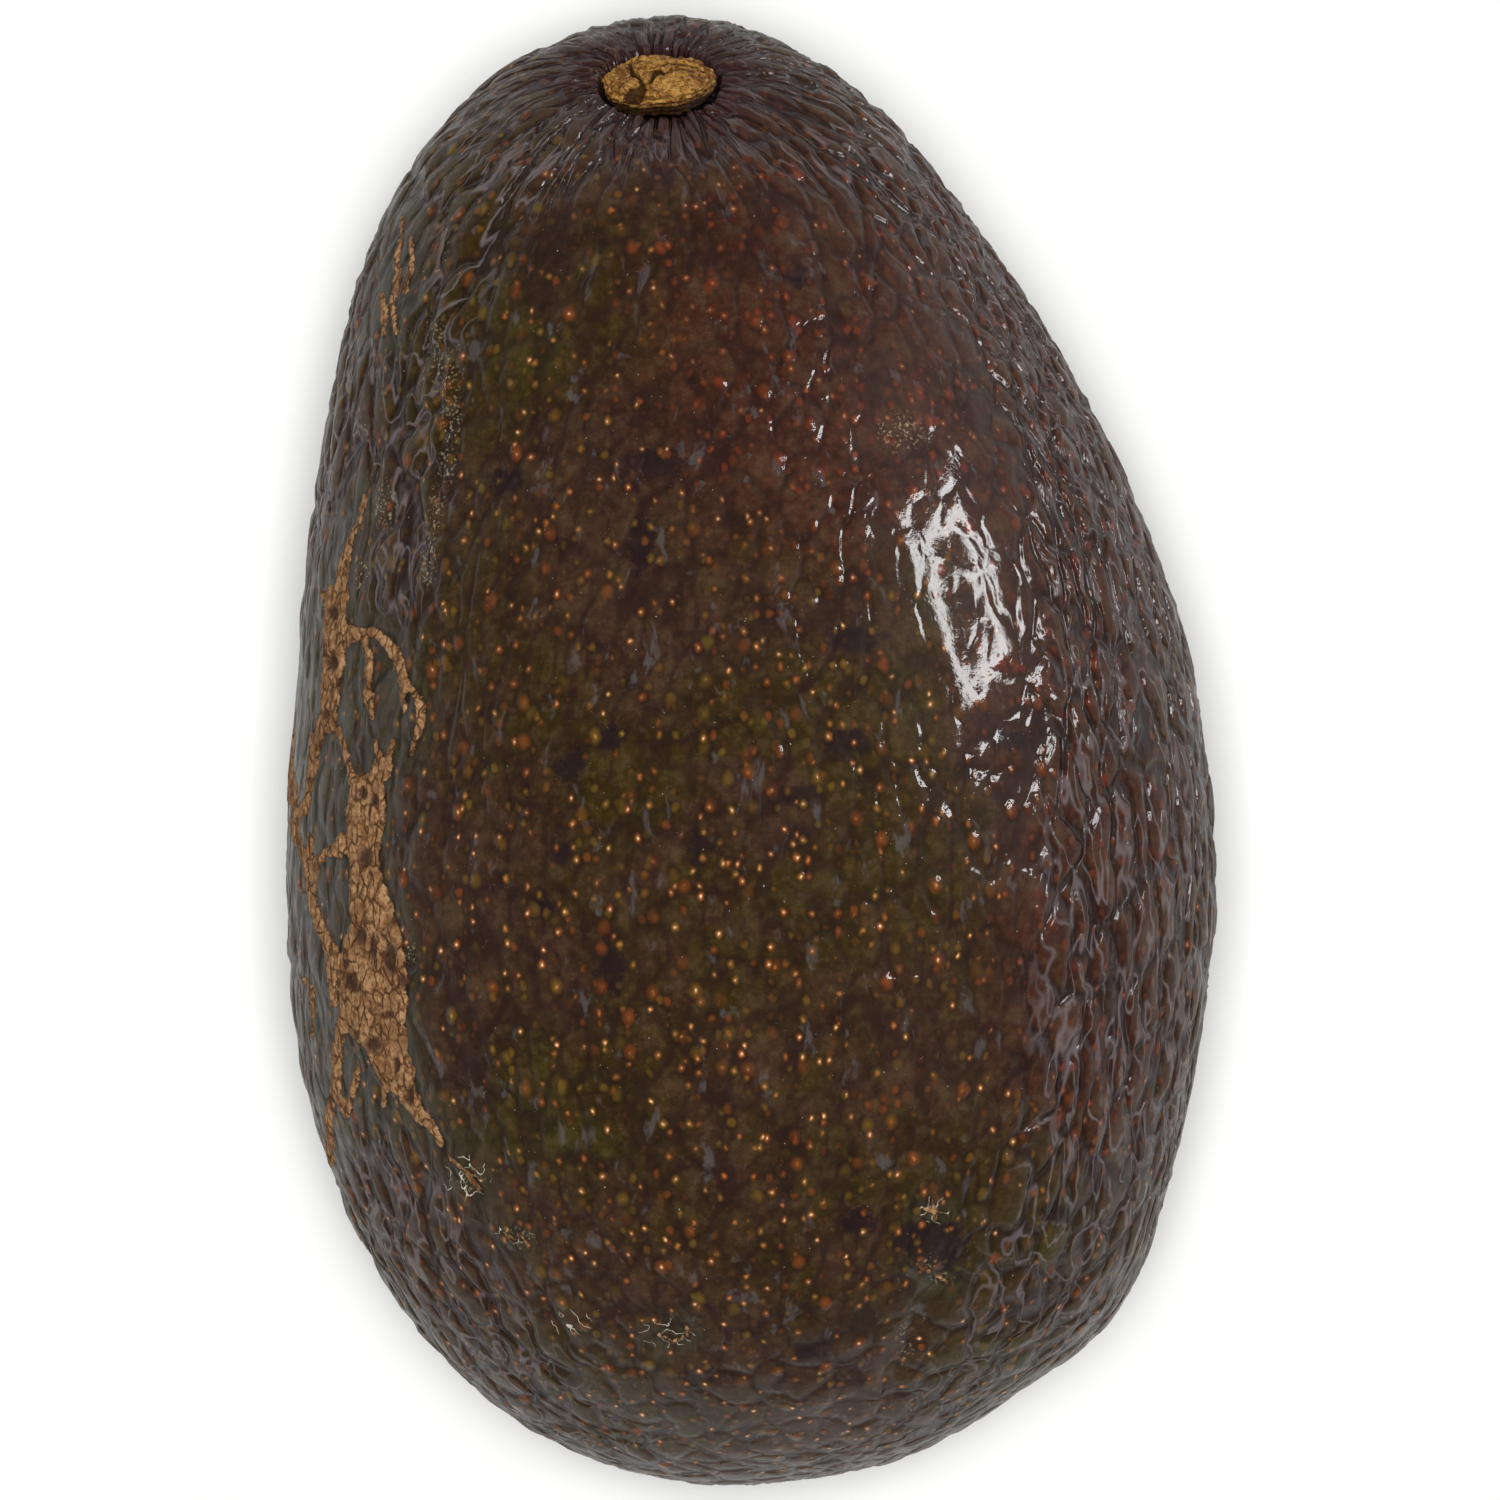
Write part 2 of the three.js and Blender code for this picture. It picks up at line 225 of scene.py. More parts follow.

# %% [markdown]
# ## The cork scar's course
# Where the growing rind was rubbed, on the left flank, it healed as a network of tan cork round islands
# of old skin. No pattern gives such a mark, so its strands are listed one by one. Each stop of a strand
# is x, y and width in pixels of the photograph, and an island is x, y and its two half-sizes. The course
# is needed before the mesh is made, because the mesh is finer there. The last, thin strands are small
# healed scratches.

# %% Strands and islands of the scar
SCAR = [
    [(364, 495, 3), (359, 524, 4), (352, 537, 6), (346, 559, 9), (343, 582, 12), (340, 597, 14)],
    [(335, 604, 20), (337, 635, 26), (333, 662, 20), (331, 689, 19), (328, 711, 15), (326, 724, 16)],
    [(322, 593, 3), (327, 604, 6)],
    [(331, 588, 3), (333, 602, 6)],
    [(346, 634, 20), (362, 634, 10), (374, 632, 8), (385, 641, 9), (396, 656, 10), (409, 690, 9)],
    [(405, 693, 6), (406, 713, 3)],
    [(414, 687, 6), (421, 702, 7), (421, 722, 6), (418, 738, 5), (412, 755, 2)],
    [(365, 640, 6), (370, 662, 5), (369, 684, 5), (368, 695, 8), (373, 718, 3)],
    [(321, 724, 11), (316, 745, 9), (312, 776, 7), (308, 794, 6), (305, 809, 7)],
    [(337, 729, 6), (344, 747, 4), (350, 769, 4), (356, 782, 10)],
    [(374, 740, 2), (380, 760, 8), (378, 776, 16)],
    [(394, 739, 2), (389, 758, 6), (385, 774, 12)],
    [(368, 792, 32), (366, 820, 38), (363, 847, 31), (365, 871, 27), (371, 906, 42), (376, 932, 48)],
    [(376, 932, 48), (374, 950, 62), (372, 974, 70), (375, 1000, 66), (376, 1019, 58)],
    [(376, 1019, 58), (385, 1036, 44), (390, 1059, 38), (397, 1074, 36)],
    [(390, 1076, 10), (386, 1090, 6), (383, 1106, 2)],
    [(400, 1078, 22), (409, 1098, 16), (418, 1112, 12), (430, 1125, 8), (443, 1147, 3)],
    [(295, 790, 5), (294, 833, 6), (299, 845, 6), (306, 866, 7)],
    [(306, 800, 6), (299, 819, 6), (295, 833, 6)],
    [(311, 835, 4), (308, 857, 7)],
    [(330, 849, 5), (318, 861, 8)],
    [(311, 866, 16), (310, 880, 9), (312, 904, 8), (320, 927, 9), (332, 951, 12), (340, 965, 14)],
    [(344, 842, 16), (340, 850, 14), (328, 853, 6)],
    [(332, 960, 10), (333, 984, 8), (333, 1003, 5)],
    [(346, 1014, 12), (341, 1030, 11), (338, 1050, 8), (337, 1071, 8), (336, 1095, 10)],
    [(337, 1095, 9), (347, 1114, 7), (352, 1097, 5), (358, 1069, 3)],
    [(330, 1100, 6), (329, 1118, 7), (330, 1135, 7), (332, 1163, 6)],
    [(299, 977, 2), (311, 986, 3), (312, 1005, 3), (313, 1036, 2)],
    [(403, 217, 2), (402, 239, 3), (396, 256, 3), (398, 275, 4), (392, 300, 5), (396, 333, 3)],
    [(413, 238, 2), (411, 262, 3), (409, 275, 4), (405, 292, 3)],
    [(382, 296, 3), (385, 310, 4), (384, 336, 3)],
    [(294, 640, 4), (291, 700, 5), (290, 760, 5), (292, 800, 6)],
    [(926, 1210, 2), (934, 1211, 4), (943, 1213, 2)],
    [(933, 1202, 2), (934, 1211, 4), (936, 1221, 2)],
    [(919, 1263, 3), (930, 1272, 4)],
    [(939, 1278, 3), (948, 1284, 2)],
    [(655, 1333, 1), (672, 1342, 1), (688, 1337, 1), (686, 1325, 1)],
    [(505, 1233, 1), (512, 1242, 1), (520, 1234, 1), (527, 1242, 1)],
    [(452, 1160, 1), (466, 1172, 3), (476, 1186, 3), (481, 1193, 1)],
]
ISLANDS = [
    (335, 613, 6, 9), (333, 663, 7, 9), (325, 714, 5, 5), (363, 793, 5, 7), (375, 800, 5, 7),
    (366, 858, 8, 11), (361, 936, 7, 10), (374, 947, 4, 14), (391, 958, 7, 16), (347, 963, 4, 6),
    (352, 982, 7, 10), (404, 980, 4, 7), (389, 1014, 6, 4), (374, 1044, 9, 9), (397, 1064, 3, 9),
    (411, 1096, 4, 12),
]


# %% Distance to a strand
FAR_OFF = 999.0


def distance_to(strands, spots):
    """Distance in pixels from each spot to the edge of the nearest strand, less than 0 inside it."""
    nearest = np.full(len(spots), FAR_OFF)
    for stops in strands:
        for start, end in zip(np.array(stops, float), np.array(stops[1:], float)):
            step = end - start
            share = np.clip((spots - start[:2]) @ step[:2] / (step[:2] @ step[:2]), 0, 1)
            on_line = start + share[:, None] * step
            away = np.linalg.norm(spots - on_line[:, :2], axis=1)
            nearest = np.minimum(nearest, away - on_line[:, 2] / 2)
    return nearest


# %% [markdown]
# ## The skin's mesh
# The skin is the thick rind that the fruit grew. It could start from a sphere, but the faces of a sphere
# pinch together at its poles, and a ball made from a cube has no poles. The cube's grid lines are spread
# so that they make equal angles, which gives faces of almost one size, and the ball is stretched to the
# fruit's length, as its pebbles are. Round the stem and along the scar the faces are split again, for
# the fine ribs and the narrow strands there.

# %% Make a ball from a cube
FIRST_CUTS = 34
SECOND_CUTS = 2


def ball_from_cube(name, *cuts):
    """A subdivided cube blown up to a ball, and the directions of its points."""
    bpy.ops.object.select_all(action="DESELECT")
    bpy.ops.mesh.primitive_cube_add(size=2)
    ball = bpy.context.object
    ball.name = name
    for number in cuts:
        edit_all(ball, lambda: bpy.ops.mesh.subdivide(number_cuts=number))
    return ball, unit(np.tan(points_of(ball) * math.pi / 4))


skin, ball_ways = ball_from_cube("avocado_skin", FIRST_CUTS, SECOND_CUTS)
place_points(skin, ball_ways * np.array(fruit_size) / 2 + np.array(fruit_middle))
print("ball:", len(skin.data.vertices), "vertices")

# %% Wrap the ball on to the form
FINE_RADIUS = 6.6 * MM
FINE_CUTS = 2
SCAR_MARGIN = 7
SCAR_BELOW_MIDDLE = 12 * MM
SMOOTHING_ROUNDS = 14
LOST_IN_SMOOTHING = 0.28 * MM
distance, height = stem_distance(points_of(skin))
near_stem = (distance < FINE_RADIUS) & (height > STEM_END)
edit_vertices(skin, near_stem, lambda: bpy.ops.mesh.subdivide(number_cuts=FINE_CUTS))
finish_with(
    skin,
    "SHRINKWRAP",
    target=form,
    wrap_method="PROJECT",
    use_negative_direction=True,
    use_positive_direction=True,
)
rough_points = points_of(skin)
near_scar = distance_to(SCAR, pixels_of(rough_points)) < SCAR_MARGIN
near_scar &= rough_points[:, 2] > fruit_middle.z - SCAR_BELOW_MIDDLE
edit_vertices(skin, near_scar, lambda: bpy.ops.mesh.subdivide(number_cuts=FINE_CUTS))
finish_with(skin, "SHRINKWRAP", target=form, wrap_method="NEAREST_SURFACEPOINT")
finish_with(skin, "SMOOTH", factor=0.5, iterations=SMOOTHING_ROUNDS)
only(skin)
bpy.ops.object.shade_smooth()
place_points(skin, points_of(skin) + LOST_IN_SMOOTHING * points_of(skin, "normal"))
bpy.data.objects.remove(form)
print("skin:", len(skin.data.vertices), "vertices")

# %% [markdown]
# ## The way the pebbles run
# Pebbles run along lines that leave the stem and meet again at the blossom end. So each point of the
# skin gets its angle from the stem and its turn about the stem. From these comes `grain`, a place in a
# straightened fruit, in millimetres: along it patterns stretch the way that the real pebbles do. SKIN_ARC
# is how far one radian goes over the skin, and ARC_CHANGE takes some of it from the ends and gives it to
# the middle. Close to the stem the rings keep a least radius, so that the cells turn into narrow ribs.

# %% Angles round the stem
SKIN_ARC = 43.5
ARC_CHANGE = 5.25
RING_RADIUS = 33.5
RIB_RING = 17.0
RIB_ANGLES = (0.2, 0.8)
half_size = np.array(fruit_size) / 2
middle = np.array(fruit_middle)
skin_points = points_of(skin)
skin_normals = points_of(skin, "normal")
stem_way = unit((stem_foot - middle) / half_size)
side_way = unit(np.cross(stem_way, np.array((0.0, 0.0, 1.0))))
top_way = np.cross(side_way, stem_way)
skin_ways = unit((skin_points - middle) / half_size)
polar = np.arccos(np.clip(skin_ways @ stem_way, -1, 1))
turn = np.arctan2(skin_ways @ top_way, skin_ways @ side_way)
along = SKIN_ARC * polar - ARC_CHANGE * np.sin(2 * polar)
ring = np.hypot(RING_RADIUS * np.sin(polar), RIB_RING * (1 - smooth_step(*RIB_ANGLES, polar)))
give(skin, "grain", np.stack((ring * np.cos(turn), along, ring * np.sin(turn)), axis=1))
print("from stem to blossom end over the skin:", round(along.max() - along.min()), "mm")

# %% [markdown]
# ## Where the relief is strong
# The photograph shows an almost smooth upper face between two soft edges, and strong pebbles on the
# flanks. `vigour` says how strong the relief is at each point. `calm` is the smooth upper face, and
# `polished` is the smoothest stretch of it, where the window-like highlight lies.

# %% Calm and polished skin
CALM_FACE = [
    (652, 300, 220), (680, 360, 410), (725, 450, 565), (732, 570, 605), (728, 700, 635), (725, 900, 640),
    (732, 1100, 590), (750, 1240, 440),
]
POLISHED = [(900, 385, 110), (935, 470, 140), (950, 660, 165)]
CALM_EDGE = (-2.5, 2.5)
POLISHED_EDGE = (-2.5, 3.5)
TURNED_AWAY = (-0.45, -0.05)
spots = pixels_of(skin_points)
seen = smooth_step(*TURNED_AWAY, skin_normals[:, 2])
calm = seen * (1 - smooth_step(*CALM_EDGE, distance_to([CALM_FACE], spots) / PIXELS_PER_MM))
polished = seen * (1 - smooth_step(*POLISHED_EDGE, distance_to([POLISHED], spots) / PIXELS_PER_MM))
give(skin, "calm", calm)
give(skin, "polished", polished)
print("calm share of the skin:", round(float(calm.mean()), 2))

# %% Strength of the relief
UNDERSIDE = (0.75, 1.0)
BLOSSOM_ANGLES = (1.9, 2.7)
RIB_ZONE = (6 * MM, 15 * MM)
LESS_WHERE_CALM = 0.7
LESS_BELOW = 0.3
LESS_AT_BLOSSOM = 0.5
LESS_AT_RIBS = 0.15
LESS_WHERE_POLISHED = 0.8
facing_down = smooth_step(*UNDERSIDE, -skin_normals[:, 2])
blossom = smooth_step(*BLOSSOM_ANGLES, polar)
vigour = 1 - LESS_WHERE_CALM * calm - LESS_BELOW * facing_down - LESS_AT_BLOSSOM * blossom * (1 - calm)
vigour *= 1 - LESS_AT_RIBS * stem_share(skin_points, *RIB_ZONE)
vigour *= 1 - LESS_WHERE_POLISHED * polished
print("vigour from", round(vigour.min(), 2), "to", round(vigour.max(), 2))

# %% [markdown]
# ## Marks at their own places
# The scar isn't the only mark. Dark bruises lie here and there, the upper right side is redder, dust has
# gathered along the soft edge of the flat upper face, a few dry scratches lie low on the left, and some
# soft creases run down the skin. All are given in the photograph's pixels and become values
# at the vertices, which relief and colour both read. An oval is x, y and its two half-sizes, and a
# crease is stops like the scar's and a rise in millimetres. Marks fade out on the underside, where
# nothing is known of them.

# %% Ovals of bruises, red skin, dust and scratches
BRUISES = [
    (655, 462, 34, 16), (640, 545, 14, 34), (570, 765, 20, 16), (850, 742, 26, 16), (612, 972, 16, 26),
    (860, 1222, 22, 16), (932, 1240, 44, 22), (934, 1262, 26, 16), (560, 855, 12, 12), (800, 795, 26, 14),
    (505, 480, 22, 14), (1040, 1297, 16, 10), (1052, 1212, 16, 12), (612, 735, 18, 14), (700, 850, 12, 20),
    (800, 275, 7, 15), (850, 640, 30, 12), (1010, 740, 22, 12), (545, 905, 14, 14), (810, 1350, 22, 14),
]
REDDER = [(850, 330, 230, 260), (1060, 560, 130, 300), (1090, 900, 110, 300)]
DUST = [
    (436, 335, 10, 24), (448, 375, 14, 26), (452, 425, 10, 28), (447, 465, 9, 22), (437, 510, 7, 26),
    (430, 560, 9, 28), (385, 505, 12, 26), (362, 575, 7, 18), (900, 432, 24, 18), (610, 60, 12, 22),
    (596, 80, 10, 14), (924, 1265, 12, 8), (942, 1280, 12, 6), (471, 1180, 14, 12), (410, 952, 8, 14),
    (934, 1211, 6, 6), (905, 1345, 7, 24), (520, 1238, 16, 6),
]
SCRATCHED = [
    (466, 1178, 26, 24), (668, 1333, 30, 16), (514, 1238, 24, 10), (572, 1322, 22, 14), (934, 1211, 16, 14),
]
OVAL_EDGE = (0.6, 1.25)


def in_ovals(ovals):
    """1 inside the nearest of the ovals and 0 away from them, soft at their edges."""
    reaches = [np.hypot((spots[:, 0] - x) / wide, (spots[:, 1] - y) / tall) for x, y, wide, tall in ovals]
    return seen * (1 - smooth_step(*OVAL_EDGE, np.min(reaches, axis=0)))


OVAL_MARKS = {"island": ISLANDS, "bruise": BRUISES, "redder": REDDER, "dust": DUST, "scratched": SCRATCHED}
for name, ovals in OVAL_MARKS.items():
    give(skin, name, in_ovals(ovals))
    print(name, "marks:", len(ovals))

# %% Creases and the rise of the scar
CREASES = [
    ([(500, 165, 14), (462, 250, 14), (446, 330, 14), (443, 450, 14), (432, 570, 14), (410, 690, 12)], 0.2),
    ([(410, 690, 12), (402, 800, 10), (404, 900, 10), (418, 1000, 10), (432, 1090, 10)], 0.16),
    ([(1046, 870, 2), (1044, 960, 2), (1036, 1060, 2), (1022, 1160, 2)], 0.14),
    ([(940, 1280, 8), (915, 1330, 10), (890, 1385, 10)], -0.35),
    ([(800, 1400, 8), (840, 1388, 8), (880, 1390, 8)], 0.22),
    ([(655, 745, 3), (662, 800, 4), (656, 850, 3)], -0.16),
    ([(700, 735, 3), (699, 758, 3)], -0.16),
]
CREASE_REACH = 0.7
SCAR_RISE = 0.14
SCAR_EDGE = (-0.2, 0.12)
ISLAND_DROP = 0.18
NO_SCAR = 9
SMOOTH_BY_SCAR = 2.5
LEAST_BY_SCAR = 0.3
scar = distance_to(SCAR, spots) / PIXELS_PER_MM + NO_SCAR * (1 - seen)
lift = SCAR_RISE * (1 - smooth_step(*SCAR_EDGE, scar)) - ISLAND_DROP * in_ovals(ISLANDS)
for stops, rise in CREASES:
    away = np.maximum(distance_to([stops], spots) / PIXELS_PER_MM, 0)
    lift += seen * rise * np.exp(-(away / CREASE_REACH) ** 2)
vigour *= LEAST_BY_SCAR + (1 - LEAST_BY_SCAR) * smooth_step(0, SMOOTH_BY_SCAR, scar)
give(skin, "scar", np.clip(scar, -NO_SCAR, NO_SCAR))
give(skin, "vigour", vigour)
place_points(skin, skin_points + (lift * MM)[:, None] * skin_normals)
print("lifted by", round(lift.min(), 2), "to", round(lift.max(), 2), "mm")


# %% [markdown]
# ## One helper for every node
# Both the relief and the materials are node trees. Each kind of node gets a plain word here, with the
# input sockets in the order in which a call gives them, the output that is used most, and its usual
# settings. The helper adds a node, links each input that is a socket, types in any other value, and
# gives the output. Another output of the same node is reached through the socket's node.

# %% Words for nodes
NODE_WORDS = {
    "plus": ("ShaderNodeMath", (0, 1), 0, {"operation": "ADD"}),
    "minus": ("ShaderNodeMath", (0, 1), 0, {"operation": "SUBTRACT"}),
    "times": ("ShaderNodeMath", (0, 1), 0, {"operation": "MULTIPLY"}),
    "times, plus": ("ShaderNodeMath", (0, 1, 2), 0, {"operation": "MULTIPLY_ADD"}),
    "larger of": ("ShaderNodeMath", (0, 1), 0, {"operation": "MAXIMUM"}),
    "without sign": ("ShaderNodeMath", (0,), 0, {"operation": "ABSOLUTE"}),
    "wave": ("ShaderNodeMath", (0,), 0, {"operation": "SINE"}),
    "ramp": ("ShaderNodeMapRange", (0, 1, 2, 3, 4), 0, {"interpolation_type": "SMOOTHSTEP"}),
    "move": ("ShaderNodeVectorMath", (0, 1), 0, {"operation": "ADD"}),
    "move back": ("ShaderNodeVectorMath", (0, 1), 0, {"operation": "SUBTRACT"}),
    "stretch": ("ShaderNodeVectorMath", (0, 1), 0, {"operation": "MULTIPLY"}),
    "enlarge": ("ShaderNodeVectorMath", (0, "Scale"), 0, {"operation": "SCALE"}),
    "split place": ("ShaderNodeSeparateXYZ", (0,), 0, {}),
    "noise": ("ShaderNodeTexNoise", ("Vector", "Scale", "Detail", "Roughness"), "Fac", {}),
    "cells": ("ShaderNodeTexVoronoi", ("Vector", "Scale"), "Distance", {}),
    "cell edges": ("ShaderNodeTexVoronoi", ("Vector", "Scale", "Randomness"), "Distance",
                   {"feature": "DISTANCE_TO_EDGE"}),
    "blend": ("ShaderNodeMix", (0, 6, 7), 2, {"data_type": "RGBA"}),
    "split colour": ("ShaderNodeSeparateColor", (0,), 0, {}),
    "mark": ("ShaderNodeAttribute", (), "Fac", {}),
    "place": ("ShaderNodeTexCoord", (), "Object", {}),
    "bump": ("ShaderNodeBump", ("Height", "Strength", "Distance"), "Normal", {}),
    "mesh in": ("NodeGroupInput", (), 0, {}),
    "mesh mark": ("GeometryNodeInputNamedAttribute", ("Name",), "Attribute", {}),
    "mesh normal": ("GeometryNodeInputNormal", (), "Normal", {}),
    "move mesh": ("GeometryNodeSetPosition", ("Geometry", "Offset"), 0, {}),
    "store on mesh": ("GeometryNodeStoreNamedAttribute", ("Geometry", "Name", "Value"), 0,
                      {"domain": "POINT"}),
}


def add(tree, word, *inputs, **settings):
    """Adds a node with its settings and links, and gives the output that is used most."""
    kind, sockets, output, usual = NODE_WORDS[word]
    node = tree.nodes.new(kind)
    for name, value in {**usual, **settings}.items():
        setattr(node, name, value)
    for place, value in zip(sockets, inputs):
        socket = node.inputs[place]
        if isinstance(value, bpy.types.NodeSocket):
            tree.links.new(value, socket)
        else:
            socket.default_value = value
    return node.outputs[output]


print("kinds of node:", len(NODE_WORDS))


# %% [markdown]
# ## Patterns that aren't ruled
# A noise and a pattern of cells are both even by nature. Skin isn't, so a pattern's coordinates are
# stretched to the width and length that its cells should have, and moved about by a wider noise.

# %% Stretch and bend a pattern
def stretched(tree, vector, width, length):
    return add(tree, "stretch", vector, (1 / width, 1 / length, 1 / width))


def bent(tree, vector, size, amount):
    """Moves a pattern's coordinates about by a noise, so that its lines aren't straight."""
    noise = add(tree, "noise", vector, 1 / size, 2.0)
    around_zero = add(tree, "move back", noise.node.outputs["Color"], (0.5, 0.5, 0.5))
    return add(tree, "move", vector, add(tree, "enlarge", around_zero, amount))


def middle_line(tree, noise, width):
    """1 on the line where a noise passes its middle value, and 0 beside it: a thin wandering line."""
    off_line = add(tree, "without sign", add(tree, "minus", noise, 0.5))
    return add(tree, "ramp", off_line, *width, 1.0, 0.0)


# %% [markdown]
# ## Pebbles and ribs
# The pebbles are lenses, about 2.4 mm wide and 5.8 mm long, with narrow furrows between them and thin
# braided ridges along their sides. Cells of a Voronoi pattern, stretched along `grain` and bent by two
# noises, have just this shape, and the distance to a cell's edge gives the dome. It could be a bump in
# the material, but the outline of a real fruit shows its pebbles, so the mesh itself is moved. A wide,
# low swell keeps the fruit from looking turned on a lathe.

# %% Sizes of the relief, in millimetres
PEBBLE_WIDTH = 2.4
PEBBLE_LENGTH = 5.8
PEBBLE_HEIGHT = 0.34
PEBBLE_UNEVENNESS = 0.9
DOME_EDGE = (-0.04, 0.3)
FURROWS_BELOW = 0.55
WIDE_BEND = (9.0, 4.5)
FINE_BEND = (2.6, 1.5)
RIDGE_WIDTH = 2.2
RIDGE_LENGTH = 9.0
RIDGE_HEIGHT = 0.1
RIDGE_EDGE = (0.0, 0.12)
SWELL_SIZE = 9.0
SWELL_HEIGHT = 0.45


# %% Build the relief
def relief_tree():
    tree = bpy.data.node_groups.new("skin relief", "GeometryNodeTree")
    tree.interface.new_socket("Geometry", in_out="INPUT", socket_type="NodeSocketGeometry")
    tree.interface.new_socket("Geometry", in_out="OUTPUT", socket_type="NodeSocketGeometry")
    grain_map = add(tree, "mesh mark", "grain", data_type="FLOAT_VECTOR")
    strength = add(tree, "mesh mark", "vigour", data_type="FLOAT")
    bent_grain = bent(tree, bent(tree, grain_map, *WIDE_BEND), *FINE_BEND)
    lenses = stretched(tree, bent_grain, PEBBLE_WIDTH, PEBBLE_LENGTH)
    dome = add(tree, "ramp", add(tree, "cell edges", lenses, 1.0, PEBBLE_UNEVENNESS), *DOME_EDGE)
    braid = add(tree, "noise", stretched(tree, bent_grain, RIDGE_WIDTH, RIDGE_LENGTH), 1.0, 1.0)
    swell = add(tree, "noise", grain_map, 1 / SWELL_SIZE, 1.0)
    height = add(tree, "times, plus", dome, PEBBLE_HEIGHT, -FURROWS_BELOW * PEBBLE_HEIGHT)
    height = add(tree, "times, plus", middle_line(tree, braid, RIDGE_EDGE), RIDGE_HEIGHT, height)
    height = add(tree, "times", height, strength)
    low_swell = add(tree, "times, plus", swell, SWELL_HEIGHT, -0.5 * SWELL_HEIGHT)
    height = add(tree, "times", add(tree, "plus", height, low_swell), MM)
    offset = add(tree, "enlarge", add(tree, "mesh normal"), height)
    mesh = add(tree, "move mesh", add(tree, "mesh in"), offset)
    mesh = add(tree, "store on mesh", mesh, "dome", dome, data_type="FLOAT")
    mesh = add(tree, "store on mesh", mesh, "grain", bent_grain, data_type="FLOAT_VECTOR")
    tree.links.new(mesh, tree.nodes.new("NodeGroupOutput").inputs[0])
    return tree


finish_with(skin, "NODES", node_group=relief_tree())
print("relief nodes:", len(bpy.data.node_groups["skin relief"].nodes))

# %% [markdown]
# ## The button's seat and the flat spot
# The skin turns down into a round seat at the stem, with a narrow gap round the button. Below, the
# skin bears on the table, so no point lies lower than the floor. `collar` is the dark red skin round the
# button, and `seat` is the gap itself, which the material paints near-black as shade.

# %% Sink the seat and set the fruit down
SEAT_DEPTH = 1.3 * MM
SEAT_WALL = (4.05 * MM, 4.6 * MM)
COLLAR = (5 * MM, 12 * MM)
skin_points = points_of(skin)
seat = stem_share(skin_points, *SEAT_WALL)
give(skin, "seat", seat)
give(skin, "collar", stem_share(skin_points, *COLLAR))
skin_points -= (seat * SEAT_DEPTH)[:, None] * stem_axis
print("points set on the floor:", int((skin_points[:, 2] < 0).sum()))
skin_points[:, 2] = np.maximum(skin_points[:, 2], 0)
place_points(skin, skin_points)


# %% [markdown]
# ## Colours and finishes
# Colours are read as sRGB hex values, as a picture shows them, and turned to linear light. A real
# surface is seldom one colour, so most colours are laid over a base where some pattern is strong.

# %% Read colours and lay them over each other
def colour(text):
    parts = [int(text[place:place + 2], 16) / 255 for place in (1, 3, 5)]
    linear = [part / 12.92 if part <= 0.04045 else ((part + 0.055) / 1.055) ** 2.4 for part in parts]
    return (*linear, 1.0)


def laid_over(tree, base, text, share):
    """Lays a colour over the base, as much of it as the share says."""
    return add(tree, "blend", share, base, colour(text))


def laid_where(tree, base, text, value, low, high, most):
    """Lays a colour over the base: none of it where the value is low, and the most where it is high.
    With low above high it is the other way round."""
    return laid_over(tree, base, text, add(tree, "ramp", value, low, high, 0.0, most))


# %% [markdown]
# ### Avocado skin
# A ripe skin is a thick, leathery rind with a wax film. The wax gives a clear, sharp highlight over a
# softer sheen, so the material is a rough base with a thin smooth coat. Its colour is built up in this
# order: the ground colour with painted shade between the pebbles, painted shade in the furrows and
# painted sheen on the ridges, streaks, patches of painted sheen and bruises, pores with rims of painted
# shade, dust and scratches, painted shade in the stem's seat, and last the cork of the scar, with painted
# shadow along its edge. The ground colour is olive and brown in clouds about 15 mm wide, with finer
# patches and mottling in it.

# %% Ground colour of the rind
CLOUD_SIZE = 15.0
OLIVE_BROWN = "#35290f"
RED_BROWN = "#3c291e"
LEAF_GREEN = "#3d3915"
FLUSH = "#44231b"
FURROW_FLOOR_SHADE = "#271816"
FLECKS = [
    # size in mm, detail and roughness of the noise, then dark and pale colours with from, to and share
    (3.5, 4.0, 0.65, ("#281913", 0.5, 0.68, 0.6), ("#54422c", 0.5, 0.32, 0.35)),
    (0.9, 3.0, 0.7, ("#1f140e", 0.5, 0.66, 0.4), ("#5f4c35", 0.5, 0.36, 0.22)),
]


def rind_colour(tree, in_mm, dome, redder):
    """Olive, brown and red-brown clouds with fine mottling, and painted shade in the furrows."""
    clouds = add(tree, "noise", in_mm, 1 / CLOUD_SIZE, 4.0, 0.6)
    brown = add(tree, "ramp", clouds, 0.4, 0.58)
    made = add(tree, "blend", brown, colour(OLIVE_BROWN), colour(RED_BROWN))
    other_clouds = add(tree, "split colour", clouds.node.outputs["Color"]).node.outputs[2]
    made = laid_where(tree, made, LEAF_GREEN, other_clouds, 0.54, 0.68, 0.55)
    made = laid_over(tree, made, FLUSH, add(tree, "times", redder, 0.75))
    for size, detail, roughness, *layers in FLECKS:
        flecks = add(tree, "noise", in_mm, 1 / size, detail, roughness)
        for text, low, high, most in layers:
            made = laid_where(tree, made, text, flecks, low, high, most)
    # Painted shade: the low parts between the pebbles are darkened.
    return laid_where(tree, made, FURROW_FLOOR_SHADE, dome, 0.5, 0.0, 0.6)


# %% [markdown]
# The mesh already has the large shape of the furrows and ridges. Their finest part is thinner than a
# face of the mesh, so it is drawn by the material along the same bent `grain`: furrows on the pebbles'
# own edges, darkened with painted shade, and thin ridges that get a pale painted sheen on the flanks.

# %% Furrows and ridges, with painted shade and sheen
FURROW_EDGE = (0.0, 0.17)
FURROW_LINE_SHADE = "#1f1414"
FURROW_LINE_SHADE_SHARE = 0.65
FINE_RIDGES = (1.5, 6.5)
FINE_RIDGE_EDGE = (0.0, 0.045)
RIDGE_SHEEN_HUE = "#93888a"
RIDGE_SHEEN_SHARE = 0.36


